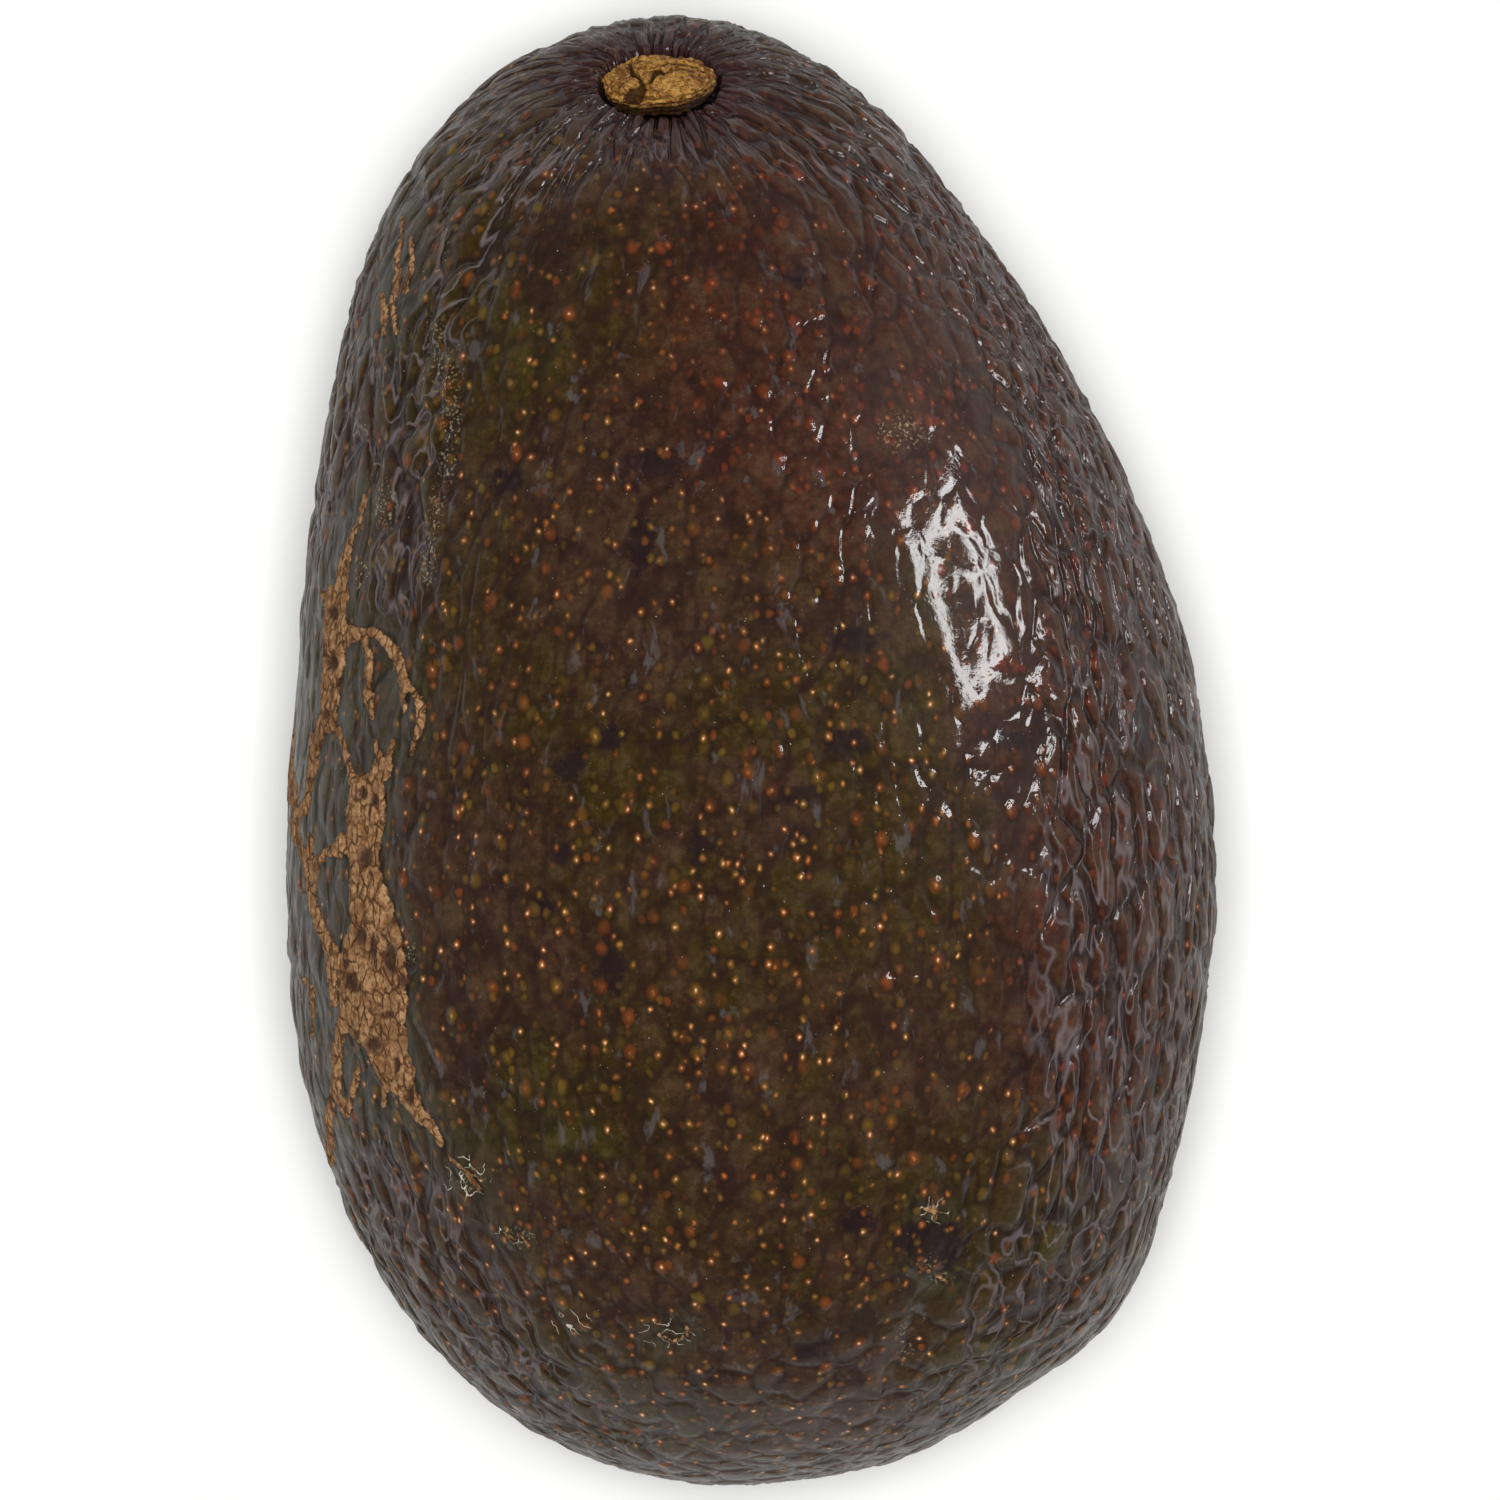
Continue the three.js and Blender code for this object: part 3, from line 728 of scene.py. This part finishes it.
def furrow_and_ridge(tree, grain_map, strength):
    """How much of a furrow, and how much of a ridge, each place is."""
    lenses = stretched(tree, grain_map, PEBBLE_WIDTH, PEBBLE_LENGTH)
    edges = add(tree, "cell edges", lenses, 1.0, PEBBLE_UNEVENNESS)
    furrow = add(tree, "times", add(tree, "ramp", edges, *FURROW_EDGE, 1.0, 0.0), strength)
    braid = add(tree, "noise", stretched(tree, grain_map, *FINE_RIDGES), 1.0, 1.0)
    on_flanks = add(tree, "ramp", strength, 0.35, 1.0)
    return furrow, add(tree, "times", middle_line(tree, braid, FINE_RIDGE_EDGE), on_flanks)


def with_furrow_shade_and_ridge_sheen(tree, base, furrow, ridge):
    # Painted shade darkens the furrows, and painted sheen lightens the ridges on the flanks.
    made = laid_over(tree, base, FURROW_LINE_SHADE, add(tree, "times", furrow, FURROW_LINE_SHADE_SHARE))
    return laid_over(tree, made, RIDGE_SHEEN_HUE, add(tree, "times", ridge, RIDGE_SHEEN_SHARE))


# %% [markdown]
# Beside the scar the old skin is drawn out into grey-olive streaks. Small grey patches are painted
# sheen, the room mirrored in the wax, and a bruise is dark and purplish, with a frayed edge, which a fine
# noise added to its oval gives.

# %% Streaks, painted sheen and bruises
STREAK_SIZE = (0.5, 5.0)
DARK_STREAK = "#24221a"
PALE_STREAK = "#3f3a2a"
STREAK_REACH = (2.4, 0.1)
SHEEN_PATCH_SIZE = (1.4, 3.6)
SHEEN_PATCH_HUE = "#5f5b5c"
BRUISE_HUE = "#21161a"
BRUISE_FRAY = 1.8
BRUISE_SINK = 0.95


def with_marks(tree, base, grain_map, scar_away, frayed):
    streaks = add(tree, "noise", stretched(tree, grain_map, *STREAK_SIZE), 1.0, 2.0)
    streak_share = add(tree, "ramp", streaks, 0.4, 0.6)
    streak_hue = add(tree, "blend", streak_share, colour(DARK_STREAK), colour(PALE_STREAK))
    made = add(tree, "blend", add(tree, "ramp", scar_away, *STREAK_REACH, 0.0, 0.7), base, streak_hue)
    # Painted sheen: small grey patches stand in for the room mirrored in the wax.
    sheen_patches = add(tree, "noise", stretched(tree, grain_map, *SHEEN_PATCH_SIZE), 1.0, 3.0, 0.6)
    made = laid_where(tree, made, SHEEN_PATCH_HUE, sheen_patches, 0.6, 0.7, 0.42)
    bruise = add(tree, "minus", add(tree, "mark", attribute_name="bruise"), BRUISE_SINK)
    bruise = add(tree, "times, plus", frayed, BRUISE_FRAY, bruise)
    return laid_where(tree, made, BRUISE_HUE, bruise, 0.1, 0.85, 0.75)


# %% [markdown]
# Pores are how the skin breathes. Each is a soft orange or yellow-green spot on a small bump, with a
# thin rim of painted shade round it, and many have a pale corky heart. They could be modelled, but there
# are thousands of them, so a pattern of cells places them: the distance to a cell's centre draws the
# spot, and the cell's own random colour says how strong it is. Large and small pores are two such
# patterns.

# %% Pores
PORE_BEND = (0.8, 0.45)
PORE_LENGTH = 1.25
ORANGE_HALO = "#7b411e"
GREEN_HALO = "#6d541f"
RED_HALO = "#742b1c"
PORE_RIM_SHADE = "#1c120d"
HEART_RING = "#a56535"
HEART = "#eecb9f"
HEART_RADIUS = 0.12
HEARTS_FROM = (20.0, -20.0)
HEART_SHARES = (0.25, 0.6)
MORE_WHERE_CALM = 0.5
FEWER_WHERE_RED = 0.45
PORES = [
    # distance between pores and reach of the halo in mm, and share of the halo's colour
    (2.0, 0.66, 0.75),
    (1.0, 0.4, 0.6),
]


def with_pores(tree, in_mm, base, redder, heart_share, size, reach, halo_share):
    """Gives the new colour and the halo, which is also the small bump that the pore sits on."""
    places = stretched(tree, bent(tree, in_mm, *PORE_BEND), 1.0, PORE_LENGTH)
    pores = add(tree, "cells", places, 1 / size)
    luck = add(tree, "split colour", pores.node.outputs["Color"]).node.outputs
    away = add(tree, "times", pores, size)
    green_share = add(tree, "ramp", luck[0], 0.3, 0.7)
    hue = add(tree, "blend", green_share, colour(ORANGE_HALO), colour(GREEN_HALO))
    hue = laid_over(tree, hue, RED_HALO, add(tree, "times", redder, 0.8))
    strong = add(tree, "ramp", luck[1], 0.1, 0.9, 0.2, 1.0)
    # Painted shade: a thin dark ring round the pore's bump.
    rim = add(tree, "ramp", away, reach * 0.8, reach * 1.4, 0.3, 0.0)
    made = laid_over(tree, base, PORE_RIM_SHADE, add(tree, "times", rim, strong))
    halo = add(tree, "times", add(tree, "ramp", away, HEART_RADIUS, reach, halo_share, 0.0), strong)
    made = add(tree, "blend", halo, made, hue)
    with_heart = add(tree, "times", add(tree, "ramp", luck[2], 0.2, 0.9), heart_share)
    for text, inner, outer, most in ((HEART_RING, 0.8, 2.0, 0.8), (HEART, 0.3, 1.0, 1.0)):
        spot = add(tree, "ramp", away, HEART_RADIUS * inner, HEART_RADIUS * outer, most, 0.0)
        made = laid_over(tree, made, text, add(tree, "times", spot, with_heart))
    return made, halo


def heart_share_of(tree, in_mm, redder, collar):
    """More pores have a heart towards the blossom end and on the calm face, fewer where it is red."""
    towards_stem = add(tree, "split place", in_mm).node.outputs["Y"]
    share = add(tree, "ramp", towards_stem, *HEARTS_FROM, *HEART_SHARES)
    share = add(tree, "times, plus", add(tree, "mark", attribute_name="calm"), MORE_WHERE_CALM, share)
    share = add(tree, "times, plus", redder, -FEWER_WHERE_RED, share)
    return add(tree, "larger of", add(tree, "minus", share, collar), 0.0)


# %% [markdown]
# Dust is pale specks a quarter of a millimetre wide, thick where it has gathered and as single pins
# elsewhere. A dry scratch is a short curl of pale thread: again the middle line of a noise, bent hard.

# %% Dust, scratches and pins
SPECK_SIZE = 0.25
DUST_HUE = "#b3a37c"
PIN_HUE = "#c9c4ba"
CURL_BEND = (0.7, 0.8)
CURL_SIZE = 1.3
CURL_EDGE = (0.004, 0.012)
SCRATCH_HUE = "#dcd2bf"


def with_dust(tree, in_mm, base):
    """Gives the new colour and where dust makes it dull."""
    specks = add(tree, "noise", in_mm, 1 / SPECK_SIZE, 3.0)
    dusty = add(tree, "times", add(tree, "mark", attribute_name="dust"), 0.5)
    dust = add(tree, "times", add(tree, "ramp", specks, 0.54, 0.66), dusty)
    made = laid_over(tree, base, DUST_HUE, dust)
    curls = add(tree, "noise", bent(tree, in_mm, *CURL_BEND), 1 / CURL_SIZE, 0.0)
    scratched = add(tree, "ramp", add(tree, "mark", attribute_name="scratched"), 0.35, 0.6, 0.0, 0.85)
    scratch = add(tree, "times", middle_line(tree, curls, CURL_EDGE), scratched)
    made = laid_over(tree, made, SCRATCH_HUE, scratch)
    return laid_where(tree, made, PIN_HUE, specks, 0.745, 0.78, 0.8), dust


# %% [markdown]
# The scar is dry cork, tan and matt, in small plates with cracks round them that are darkened with
# painted shade. It has darker brown blotches about 2 mm wide, and its islands keep the old skin's colour.

# %% Cork of the scar
PALE_CORK = "#b08a63"
BROWN_CORK = "#7d5737"
CORK_BLOTCH = "#654228"
CORK_CRACK_SHADE = "#432817"
OLD_SKIN = "#3f2b24"
TONE_SIZE = 0.5
CORK_BLOTCH_SIZE = 2.0
PLATE_BEND = (1.2, 1.0)
PLATE_LENGTH = 1.5


def scar_cork(tree, in_mm, frayed):
    """The colour of the scar's cork, and its cracks."""
    tone = add(tree, "noise", in_mm, 1 / TONE_SIZE, 4.0, 0.7)
    blotches = add(tree, "noise", in_mm, 1 / CORK_BLOTCH_SIZE, 3.0)
    pale = add(tree, "ramp", tone, 0.38, 0.62)
    made = add(tree, "blend", pale, colour(BROWN_CORK), colour(PALE_CORK))
    made = laid_where(tree, made, CORK_BLOTCH, blotches, 0.48, 0.68, 0.55)
    places = stretched(tree, bent(tree, in_mm, *PLATE_BEND), 1.0, PLATE_LENGTH)
    cracks = add(tree, "ramp", add(tree, "cell edges", places, 1.0, 1.0), 0.02, 0.13, 1.0, 0.0)
    cracks = add(tree, "times", cracks, add(tree, "ramp", frayed, 0.35, 0.55, 0.3, 1.0))
    # Painted shade: the cracks between the plates are darkened.
    made = laid_over(tree, made, CORK_CRACK_SHADE, add(tree, "times", cracks, 0.85))
    island = add(tree, "times", add(tree, "mark", attribute_name="island"), 0.9)
    return laid_over(tree, made, OLD_SKIN, island), cracks


# %% [markdown]
# The finest relief is a bump of the material: furrows go in, pores and ridges stand out, and the cork is
# gritty and cracked. Pores are damped on the polished skin, because they would break the highlight up.
# Both the base and the wax coat follow this bump.

# %% Fine relief, in millimetres
FURROW_DEPTH = 0.2
FINE_RIDGE_HEIGHT = 0.06
PORE_HEIGHTS = (0.15, 0.06)
DAMPED_PORES = 0.12
SKIN_GRIT = 0.014
CORK_GRIT = 0.3
CORK_CRACK_DEPTH = 0.08


def fine_relief(tree, furrow, ridge, halos, frayed, corky, cracks):
    height = add(tree, "times", furrow, -FURROW_DEPTH)
    grit = add(tree, "times", frayed, add(tree, "ramp", corky, 0.0, 1.0, SKIN_GRIT, CORK_GRIT))
    height = add(tree, "plus", height, grit)
    small = add(tree, "times", halos[1], PORE_HEIGHTS[1])
    pores = add(tree, "times, plus", halos[0], PORE_HEIGHTS[0], small)
    polish = add(tree, "mark", attribute_name="polished")
    pores = add(tree, "times", pores, add(tree, "ramp", polish, 0.0, 0.8, 1.0, DAMPED_PORES))
    height = add(tree, "plus", height, pores)
    height = add(tree, "times, plus", ridge, FINE_RIDGE_HEIGHT, height)
    height = add(tree, "times, plus", add(tree, "times", cracks, corky), -CORK_CRACK_DEPTH, height)
    return add(tree, "bump", height, 1.0, MM)


# %% [markdown]
# Now the whole skin. The wax is thicker on the calm face than on the flanks, and cork and dust have none
# and are dull.

# %% Skin material
COLLAR_HUE = "#371d22"
SEAT_SHADE = "#100a08"
SCAR_EDGE_SHADOW = "#1f1510"
FRAYED_SIZE = 0.9
CORK_FRAY = 0.8
CORK_EDGE = (0.42, 0.52)
SCAR_EDGE_SHADOW_REACH = (0.8, 0.45)
WAX = 0.33
FLANK_WAX = 0.26
RIND_ROUGHNESS = 0.5
DRY_ROUGHNESS = 0.9


def skin_material():
    material = bpy.data.materials.new("waxed avocado rind")
    material.use_nodes = True
    tree = material.node_tree
    shader = tree.nodes["Principled BSDF"]
    in_mm = add(tree, "enlarge", add(tree, "place"), 1 / MM)
    names = ("dome", "redder", "scar", "collar", "seat", "calm", "vigour")
    dome, redder, scar_away, collar, in_seat, calm_face, strength = (
        add(tree, "mark", attribute_name=name) for name in names
    )
    grain_map = add(tree, "mark", attribute_name="grain").node.outputs["Vector"]
    frayed = add(tree, "noise", in_mm, 1 / FRAYED_SIZE, 4.0, 0.65)

    strength = add(tree, "plus", strength, add(tree, "times", collar, 0.7))
    furrow, ridge = furrow_and_ridge(tree, grain_map, strength)
    base = with_furrow_shade_and_ridge_sheen(tree, rind_colour(tree, in_mm, dome, redder), furrow, ridge)
    base = with_marks(tree, base, grain_map, scar_away, frayed)
    heart_share = heart_share_of(tree, in_mm, redder, collar)
    halos = []
    for size, reach, halo_share in PORES:
        base, halo = with_pores(tree, in_mm, base, redder, heart_share, size, reach, halo_share)
        halos.append(halo)
    base, dust = with_dust(tree, in_mm, base)
    base = laid_over(tree, base, COLLAR_HUE, add(tree, "times", collar, 0.65))
    # Painted shade: the gap round the button is painted near-black.
    base = laid_over(tree, base, SEAT_SHADE, in_seat)

    scar_edge = add(tree, "times, plus", frayed, CORK_FRAY, scar_away)
    corky = add(tree, "ramp", scar_edge, *CORK_EDGE, 1.0, 0.0)
    # Painted shadow: a dark band just outside the edge of the raised scar.
    base = laid_where(tree, base, SCAR_EDGE_SHADOW, scar_edge, *SCAR_EDGE_SHADOW_REACH, 0.65)
    cork, cracks = scar_cork(tree, in_mm, frayed)
    tree.links.new(add(tree, "blend", corky, base, cork), shader.inputs["Base Color"])

    relief = fine_relief(tree, furrow, ridge, halos, frayed, corky, cracks)
    tree.links.new(relief, shader.inputs["Normal"])
    tree.links.new(relief, shader.inputs["Coat Normal"])
    dull = add(tree, "larger of", corky, dust)
    roughness = add(tree, "ramp", dull, 0.0, 1.0, RIND_ROUGHNESS, DRY_ROUGHNESS)
    tree.links.new(roughness, shader.inputs["Roughness"])
    wax = add(tree, "times, plus", calm_face, WAX - FLANK_WAX, FLANK_WAX)
    tree.links.new(add(tree, "ramp", dull, 0.0, 1.0, wax, 0.0), shader.inputs["Coat Weight"])
    shader.inputs["Specular IOR Level"].default_value = 0.06
    shader.inputs["Coat Roughness"].default_value = 0.04
    shader.inputs["Coat IOR"].default_value = 1.5
    print("skin material:", len(tree.nodes), "nodes")
    return material


skin.data.materials.append(skin_material())
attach(skin, "root")
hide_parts("fruit")

# %% [markdown]
# ## The stem button
# The button is the dried end of the stalk: a lump of golden cork with a domed, cracked face and a
# layered side. A cylinder would have too sharp an edge for it, so it is a ball from a cube again, blown
# up towards a drum and stood on the stem's line. Its outline leans out on the right. The cracks are
# pressed in along listed lines, and two clouds textures make it crumbly. Lengths in this step are in
# millimetres until the button is put in its place.

# %% Outline and layered side of the button
BUTTON_CUTS = (15, 3)
BUTTON_REACH = 4.1
BUTTON_HEIGHT = 1.8
BUTTON_SHIFT = 0.12
DRUM = 5
RIM = (0.3, 0.8)
BULGES = [
    # rise, bearing in radians and sharpness of each swelling or flat of the outline
    (0.05, -0.25, 5),
    (-0.12, 2.2, 2),
    (-0.08, 1.0, 2),
]
RIPPLES = [
    # rise, number round the rim and start of each ripple
    (0.025, 5, 1),
    (0.016, 9, 0),
]
UNDERCUT = 0.1
UNDERCUT_RISE = (-0.6, 0.5)
LAYER_DEPTH = 0.02
LAYER_RATE = 14
button, ball_ways = ball_from_cube("avocado_stem_button", *BUTTON_CUTS)
swollen = (np.hypot(ball_ways[:, 0], ball_ways[:, 1]) ** DRUM + np.abs(ball_ways[:, 2]) ** DRUM) ** (1 / DRUM)
drum = ball_ways / swollen[:, None]
level = drum[:, 2].copy()
bearing = np.arctan2(drum[:, 1], drum[:, 0])
on_top = smooth_step(*RIM, level)
outline = np.ones(len(drum))
for rise, place, sharpness in BULGES:
    outline += rise * np.maximum(np.cos(bearing - place), 0) ** sharpness
for rise, number, start in RIPPLES:
    outline += rise * np.sin(number * bearing + start)
undercut = 1 - UNDERCUT * (1 - smooth_step(*UNDERCUT_RISE, level))
side_layers = 1 + LAYER_DEPTH * np.sin(LAYER_RATE * level + 2 * np.sin(bearing)) * (1 - on_top)
drum[:, :2] *= (BUTTON_REACH * outline * undercut * side_layers)[:, None]
drum[:, 0] -= BUTTON_SHIFT
print("button outline from", round(outline.min(), 2), "to", round(outline.max(), 2), "of its radius")

# %% Cracked and domed face
CRACKS = [
    [(-2.07, 1.68), (-2.0, 0.46), (-1.77, -0.76), (-1.34, -1.52), (-1.1, -2.9)],
    [(2.38, -0.1), (1.83, -0.46), (1.1, -0.76), (0.37, -1.2), (-0.12, -0.6), (-0.24, -1.2), (-0.6, -2.1)],
    [(-2.4, 1.9), (-1.04, 1.5), (-0.12, 1.07), (0.6, 1.2), (1.4, 2.2), (2.4, 1.9)],
    [(0.3, 0.1), (1.2, 0.5), (2.6, 0.6), (3.4, 0.2)],
]
CRACK_DEPTH = 0.5
CRACK_REACH = 0.17
NOTCH_PLACE = (-1.8, -3.3)
NOTCH_REACH = 0.8
FACE_DOME = 0.85
FACE_WAVE = 0.16
flat = drum[:, :2]
crack_lines = [[(*stop, 0.0) for stop in line] for line in CRACKS]
crack = np.exp(-(distance_to(crack_lines, flat) / CRACK_REACH) ** 2)
crack += np.exp(-(np.linalg.norm(flat - NOTCH_PLACE, axis=1) / NOTCH_REACH) ** 4)
crack = on_top * np.minimum(crack, 1)
face_rise = FACE_WAVE * np.sin(1.3 * drum[:, 0] + 0.5) * np.cos(1.1 * drum[:, 1])
face_rise += FACE_DOME * (1 - (flat ** 2).sum(axis=1) / BUTTON_REACH ** 2)
drum[:, 2] = (level + 1) / 2 * BUTTON_HEIGHT + on_top * (face_rise - CRACK_DEPTH * crack)
give(button, "crack", crack)
give(button, "height", drum[:, 2] / BUTTON_HEIGHT)
print("button top at", round(drum[:, 2].max(), 2), "mm")

# %% Stand the button in its seat and make it crumbly
CRUMBLE = [
    # size and height of the lumps in mm
    (1.6, 0.5),
    (0.4, 0.3),
]
right = np.array((1.0, 0.0, 0.0))
right = unit(right - (right @ stem_axis) * stem_axis)
up_face = np.cross(stem_axis, right)
place_points(button, drum @ np.stack((right, up_face, stem_axis)) * MM + stem_foot)
for lump_size, lump_height in CRUMBLE:
    crumble = bpy.data.textures.new("crumble", "CLOUDS")
    crumble.noise_scale = lump_size * MM
    finish_with(button, "DISPLACE", texture=crumble, strength=lump_height * MM, mid_level=0.5)
only(button)
bpy.ops.object.shade_smooth()
print("button:", len(button.data.polygons), "faces")

# %% [markdown]
# ### Dry cork
# The dried end of a stalk is corky: matt, with golden grains a third of a millimetre wide on its face,
# cracks darkened with painted shade, thin dark lines on its side and painted shade at its foot. `height`
# tells the material how far up the button a place is, so no picture has to be painted for the side.

# %% Button material
BROWN_GOLD = "#794c1b"
PALE_GOLD = "#aa7b38"
BUTTON_LAYERS = [
    # pale grains and dark grains, with from, to and share
    ("#d3ae70", 0.52, 0.68, 0.7),
    ("#43240b", 0.49, 0.39, 0.85),
]
CRACK_SHADE_AND_SIDE_LINES = "#2a1505"
BUTTON_FOOT_SHADE = "#1c0f07"
PATCH_SIZE = 1.5
LAYER_LINES = 30.0
LAYER_WANDER = 9.0
GRAIN_SIZE = 0.32
GRAIN_HEIGHT = 0.22


def cork_material():
    material = bpy.data.materials.new("dry golden cork")
    material.use_nodes = True
    tree = material.node_tree
    shader = tree.nodes["Principled BSDF"]
    in_mm = add(tree, "enlarge", add(tree, "place"), 1 / MM)
    height = add(tree, "mark", attribute_name="height")
    patches = add(tree, "noise", in_mm, 1 / PATCH_SIZE, 3.0)
    grains = add(tree, "noise", in_mm, 1 / GRAIN_SIZE, 3.0, 0.7)
    pale = add(tree, "ramp", patches, 0.38, 0.62)
    base = add(tree, "blend", pale, colour(BROWN_GOLD), colour(PALE_GOLD))
    for text, low, high, most in BUTTON_LAYERS:
        base = laid_where(tree, base, text, grains, low, high, most)
    in_crack = add(tree, "mark", attribute_name="crack")
    # Painted shade: the pressed-in cracks are darkened.
    base = laid_where(tree, base, CRACK_SHADE_AND_SIDE_LINES, in_crack, 0.1, 0.6, 0.9)
    # Thin dark lines wander round the side.
    layer_place = add(tree, "times", height, LAYER_LINES)
    layer_place = add(tree, "times, plus", patches, LAYER_WANDER, layer_place)
    side_lines = add(tree, "ramp", add(tree, "wave", layer_place), 0.2, 0.9)
    on_side = add(tree, "ramp", height, 1.0, 0.9, 0.0, 0.8)
    base = laid_over(tree, base, CRACK_SHADE_AND_SIDE_LINES, add(tree, "times", side_lines, on_side))
    # Painted shade: the lower part of the side is darkened almost to black.
    base = laid_where(tree, base, BUTTON_FOOT_SHADE, height, 0.86, 0.5, 0.95)
    tree.links.new(base, shader.inputs["Base Color"])
    tree.links.new(add(tree, "bump", grains, 1.0, GRAIN_HEIGHT * MM), shader.inputs["Normal"])
    shader.inputs["Roughness"].default_value = 0.92
    shader.inputs["Specular IOR Level"].default_value = 0.2
    print("button material:", len(tree.nodes), "nodes")
    return material


button.data.materials.append(cork_material())
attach(button, "root")
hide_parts("stem_button")


# %% [markdown]
# ## The floor
# The fruit lies on a plain board with matt, nearly white paint, which shows only its soft shadow.

# %% Floor
PAINT = "#f4f4f2"
FLOOR_SIDE = 4


def floor_material():
    material = bpy.data.materials.new("pale painted board")
    material.use_nodes = True
    shader = material.node_tree.nodes["Principled BSDF"]
    shader.inputs["Base Color"].default_value = colour(PAINT)
    shader.inputs["Roughness"].default_value = 0.9
    return material


bpy.ops.object.select_all(action="DESELECT")
bpy.ops.mesh.primitive_plane_add(size=FLOOR_SIDE, location=(0, 0, 0))
floor = bpy.context.object
floor.name = "floor"
floor.data.materials.append(floor_material())
print("floor:", FLOOR_SIDE, "m wide")

# %% [markdown]
# ## The lights
# A wide soft light overhead lights the whole fruit and isn't mirrored in the wax. The bright, broken
# highlight is the mirror image of a softbox low on the right, which lights nothing else. The softbox is
# a frame of four lit strips round a dark middle, as the reflection in the wax shows it.

# %% Soft light overhead
OVERHEAD_SIDE = 0.45
OVERHEAD_DISTANCE = 2.0
OVERHEAD_POWER = 45


def soft_light(name, azimuth, elevation, distance, size, power):
    """A panel that faces the fruit. Azimuth 0 is +X, 90 is +Y."""
    turn_z, rise = math.radians(azimuth), math.radians(elevation)
    level_way = math.cos(rise)
    way = Vector((math.cos(turn_z) * level_way, math.sin(turn_z) * level_way, math.sin(rise)))
    data = bpy.data.lights.new(name, "AREA")
    data.shape = "RECTANGLE"
    data.size, data.size_y = size
    data.energy = power
    lamp = bpy.data.objects.new(name, data)
    lamp.location = fruit_middle + way * distance
    lamp.rotation_euler = way.to_track_quat("Z", "Y").to_euler()
    bpy.context.scene.collection.objects.link(lamp)
    return lamp


overhead_size = (OVERHEAD_SIDE, OVERHEAD_SIDE)
overhead = soft_light("overhead", 90, 90, OVERHEAD_DISTANCE, overhead_size, OVERHEAD_POWER)
overhead.visible_glossy = False

# %% Softbox frame
FRAME_AZIMUTH = 27
FRAME_ELEVATION = 30
FRAME_DISTANCE = 0.6
FRAME_SIZE = (0.16, 0.25)
STRIP = 0.046
POWER_PER_AREA = 130
for name, sideways, upwards in (("left", -1, 0), ("right", 1, 0), ("upper", 0, 1), ("lower", 0, -1)):
    wide = STRIP if sideways else FRAME_SIZE[0]
    tall = FRAME_SIZE[1] - 2 * STRIP if sideways else STRIP
    strip = soft_light(f"softbox {name} strip", FRAME_AZIMUTH, FRAME_ELEVATION, FRAME_DISTANCE,
                       (wide, tall), POWER_PER_AREA * wide * tall)
    shift = Vector((sideways * (FRAME_SIZE[0] - STRIP) / 2, upwards * (FRAME_SIZE[1] - STRIP) / 2, 0))
    strip.location += strip.rotation_euler.to_matrix() @ shift
    strip.visible_diffuse = False
    print(name, "strip:", round(wide * 100, 1), "by", round(tall * 100, 1), "cm")

# %% [markdown]
# ## The room
# What the wax mirrors at the fruit's edges is the room. A picture of a room could be used, but a plain
# studio needs none: it is pale at the walls and dark at the ceiling, so its light depends only on how
# high the direction points.

# %% World
ROOM_HUE = "#f2f3f6"
WALL_TO_CEILING = (0.05, 0.6)
WALL_LIGHT = 0.32
CEILING_LIGHT = 0.06


def studio_world():
    world = bpy.data.worlds.new("studio")
    world.use_nodes = True
    tree = world.node_tree
    way = add(tree, "place").node.outputs["Generated"]
    height = add(tree, "split place", way).node.outputs["Z"]
    light = add(tree, "ramp", height, *WALL_TO_CEILING, WALL_LIGHT, CEILING_LIGHT)
    tree.links.new(light, tree.nodes["Background"].inputs["Strength"])
    tree.nodes["Background"].inputs["Color"].default_value = colour(ROOM_HUE)
    return world


bpy.context.scene.world = studio_world()
bpy.context.scene.view_settings.view_transform = "Standard"
print("room light:", WALL_LIGHT, "at the walls,", CEILING_LIGHT, "at the ceiling")
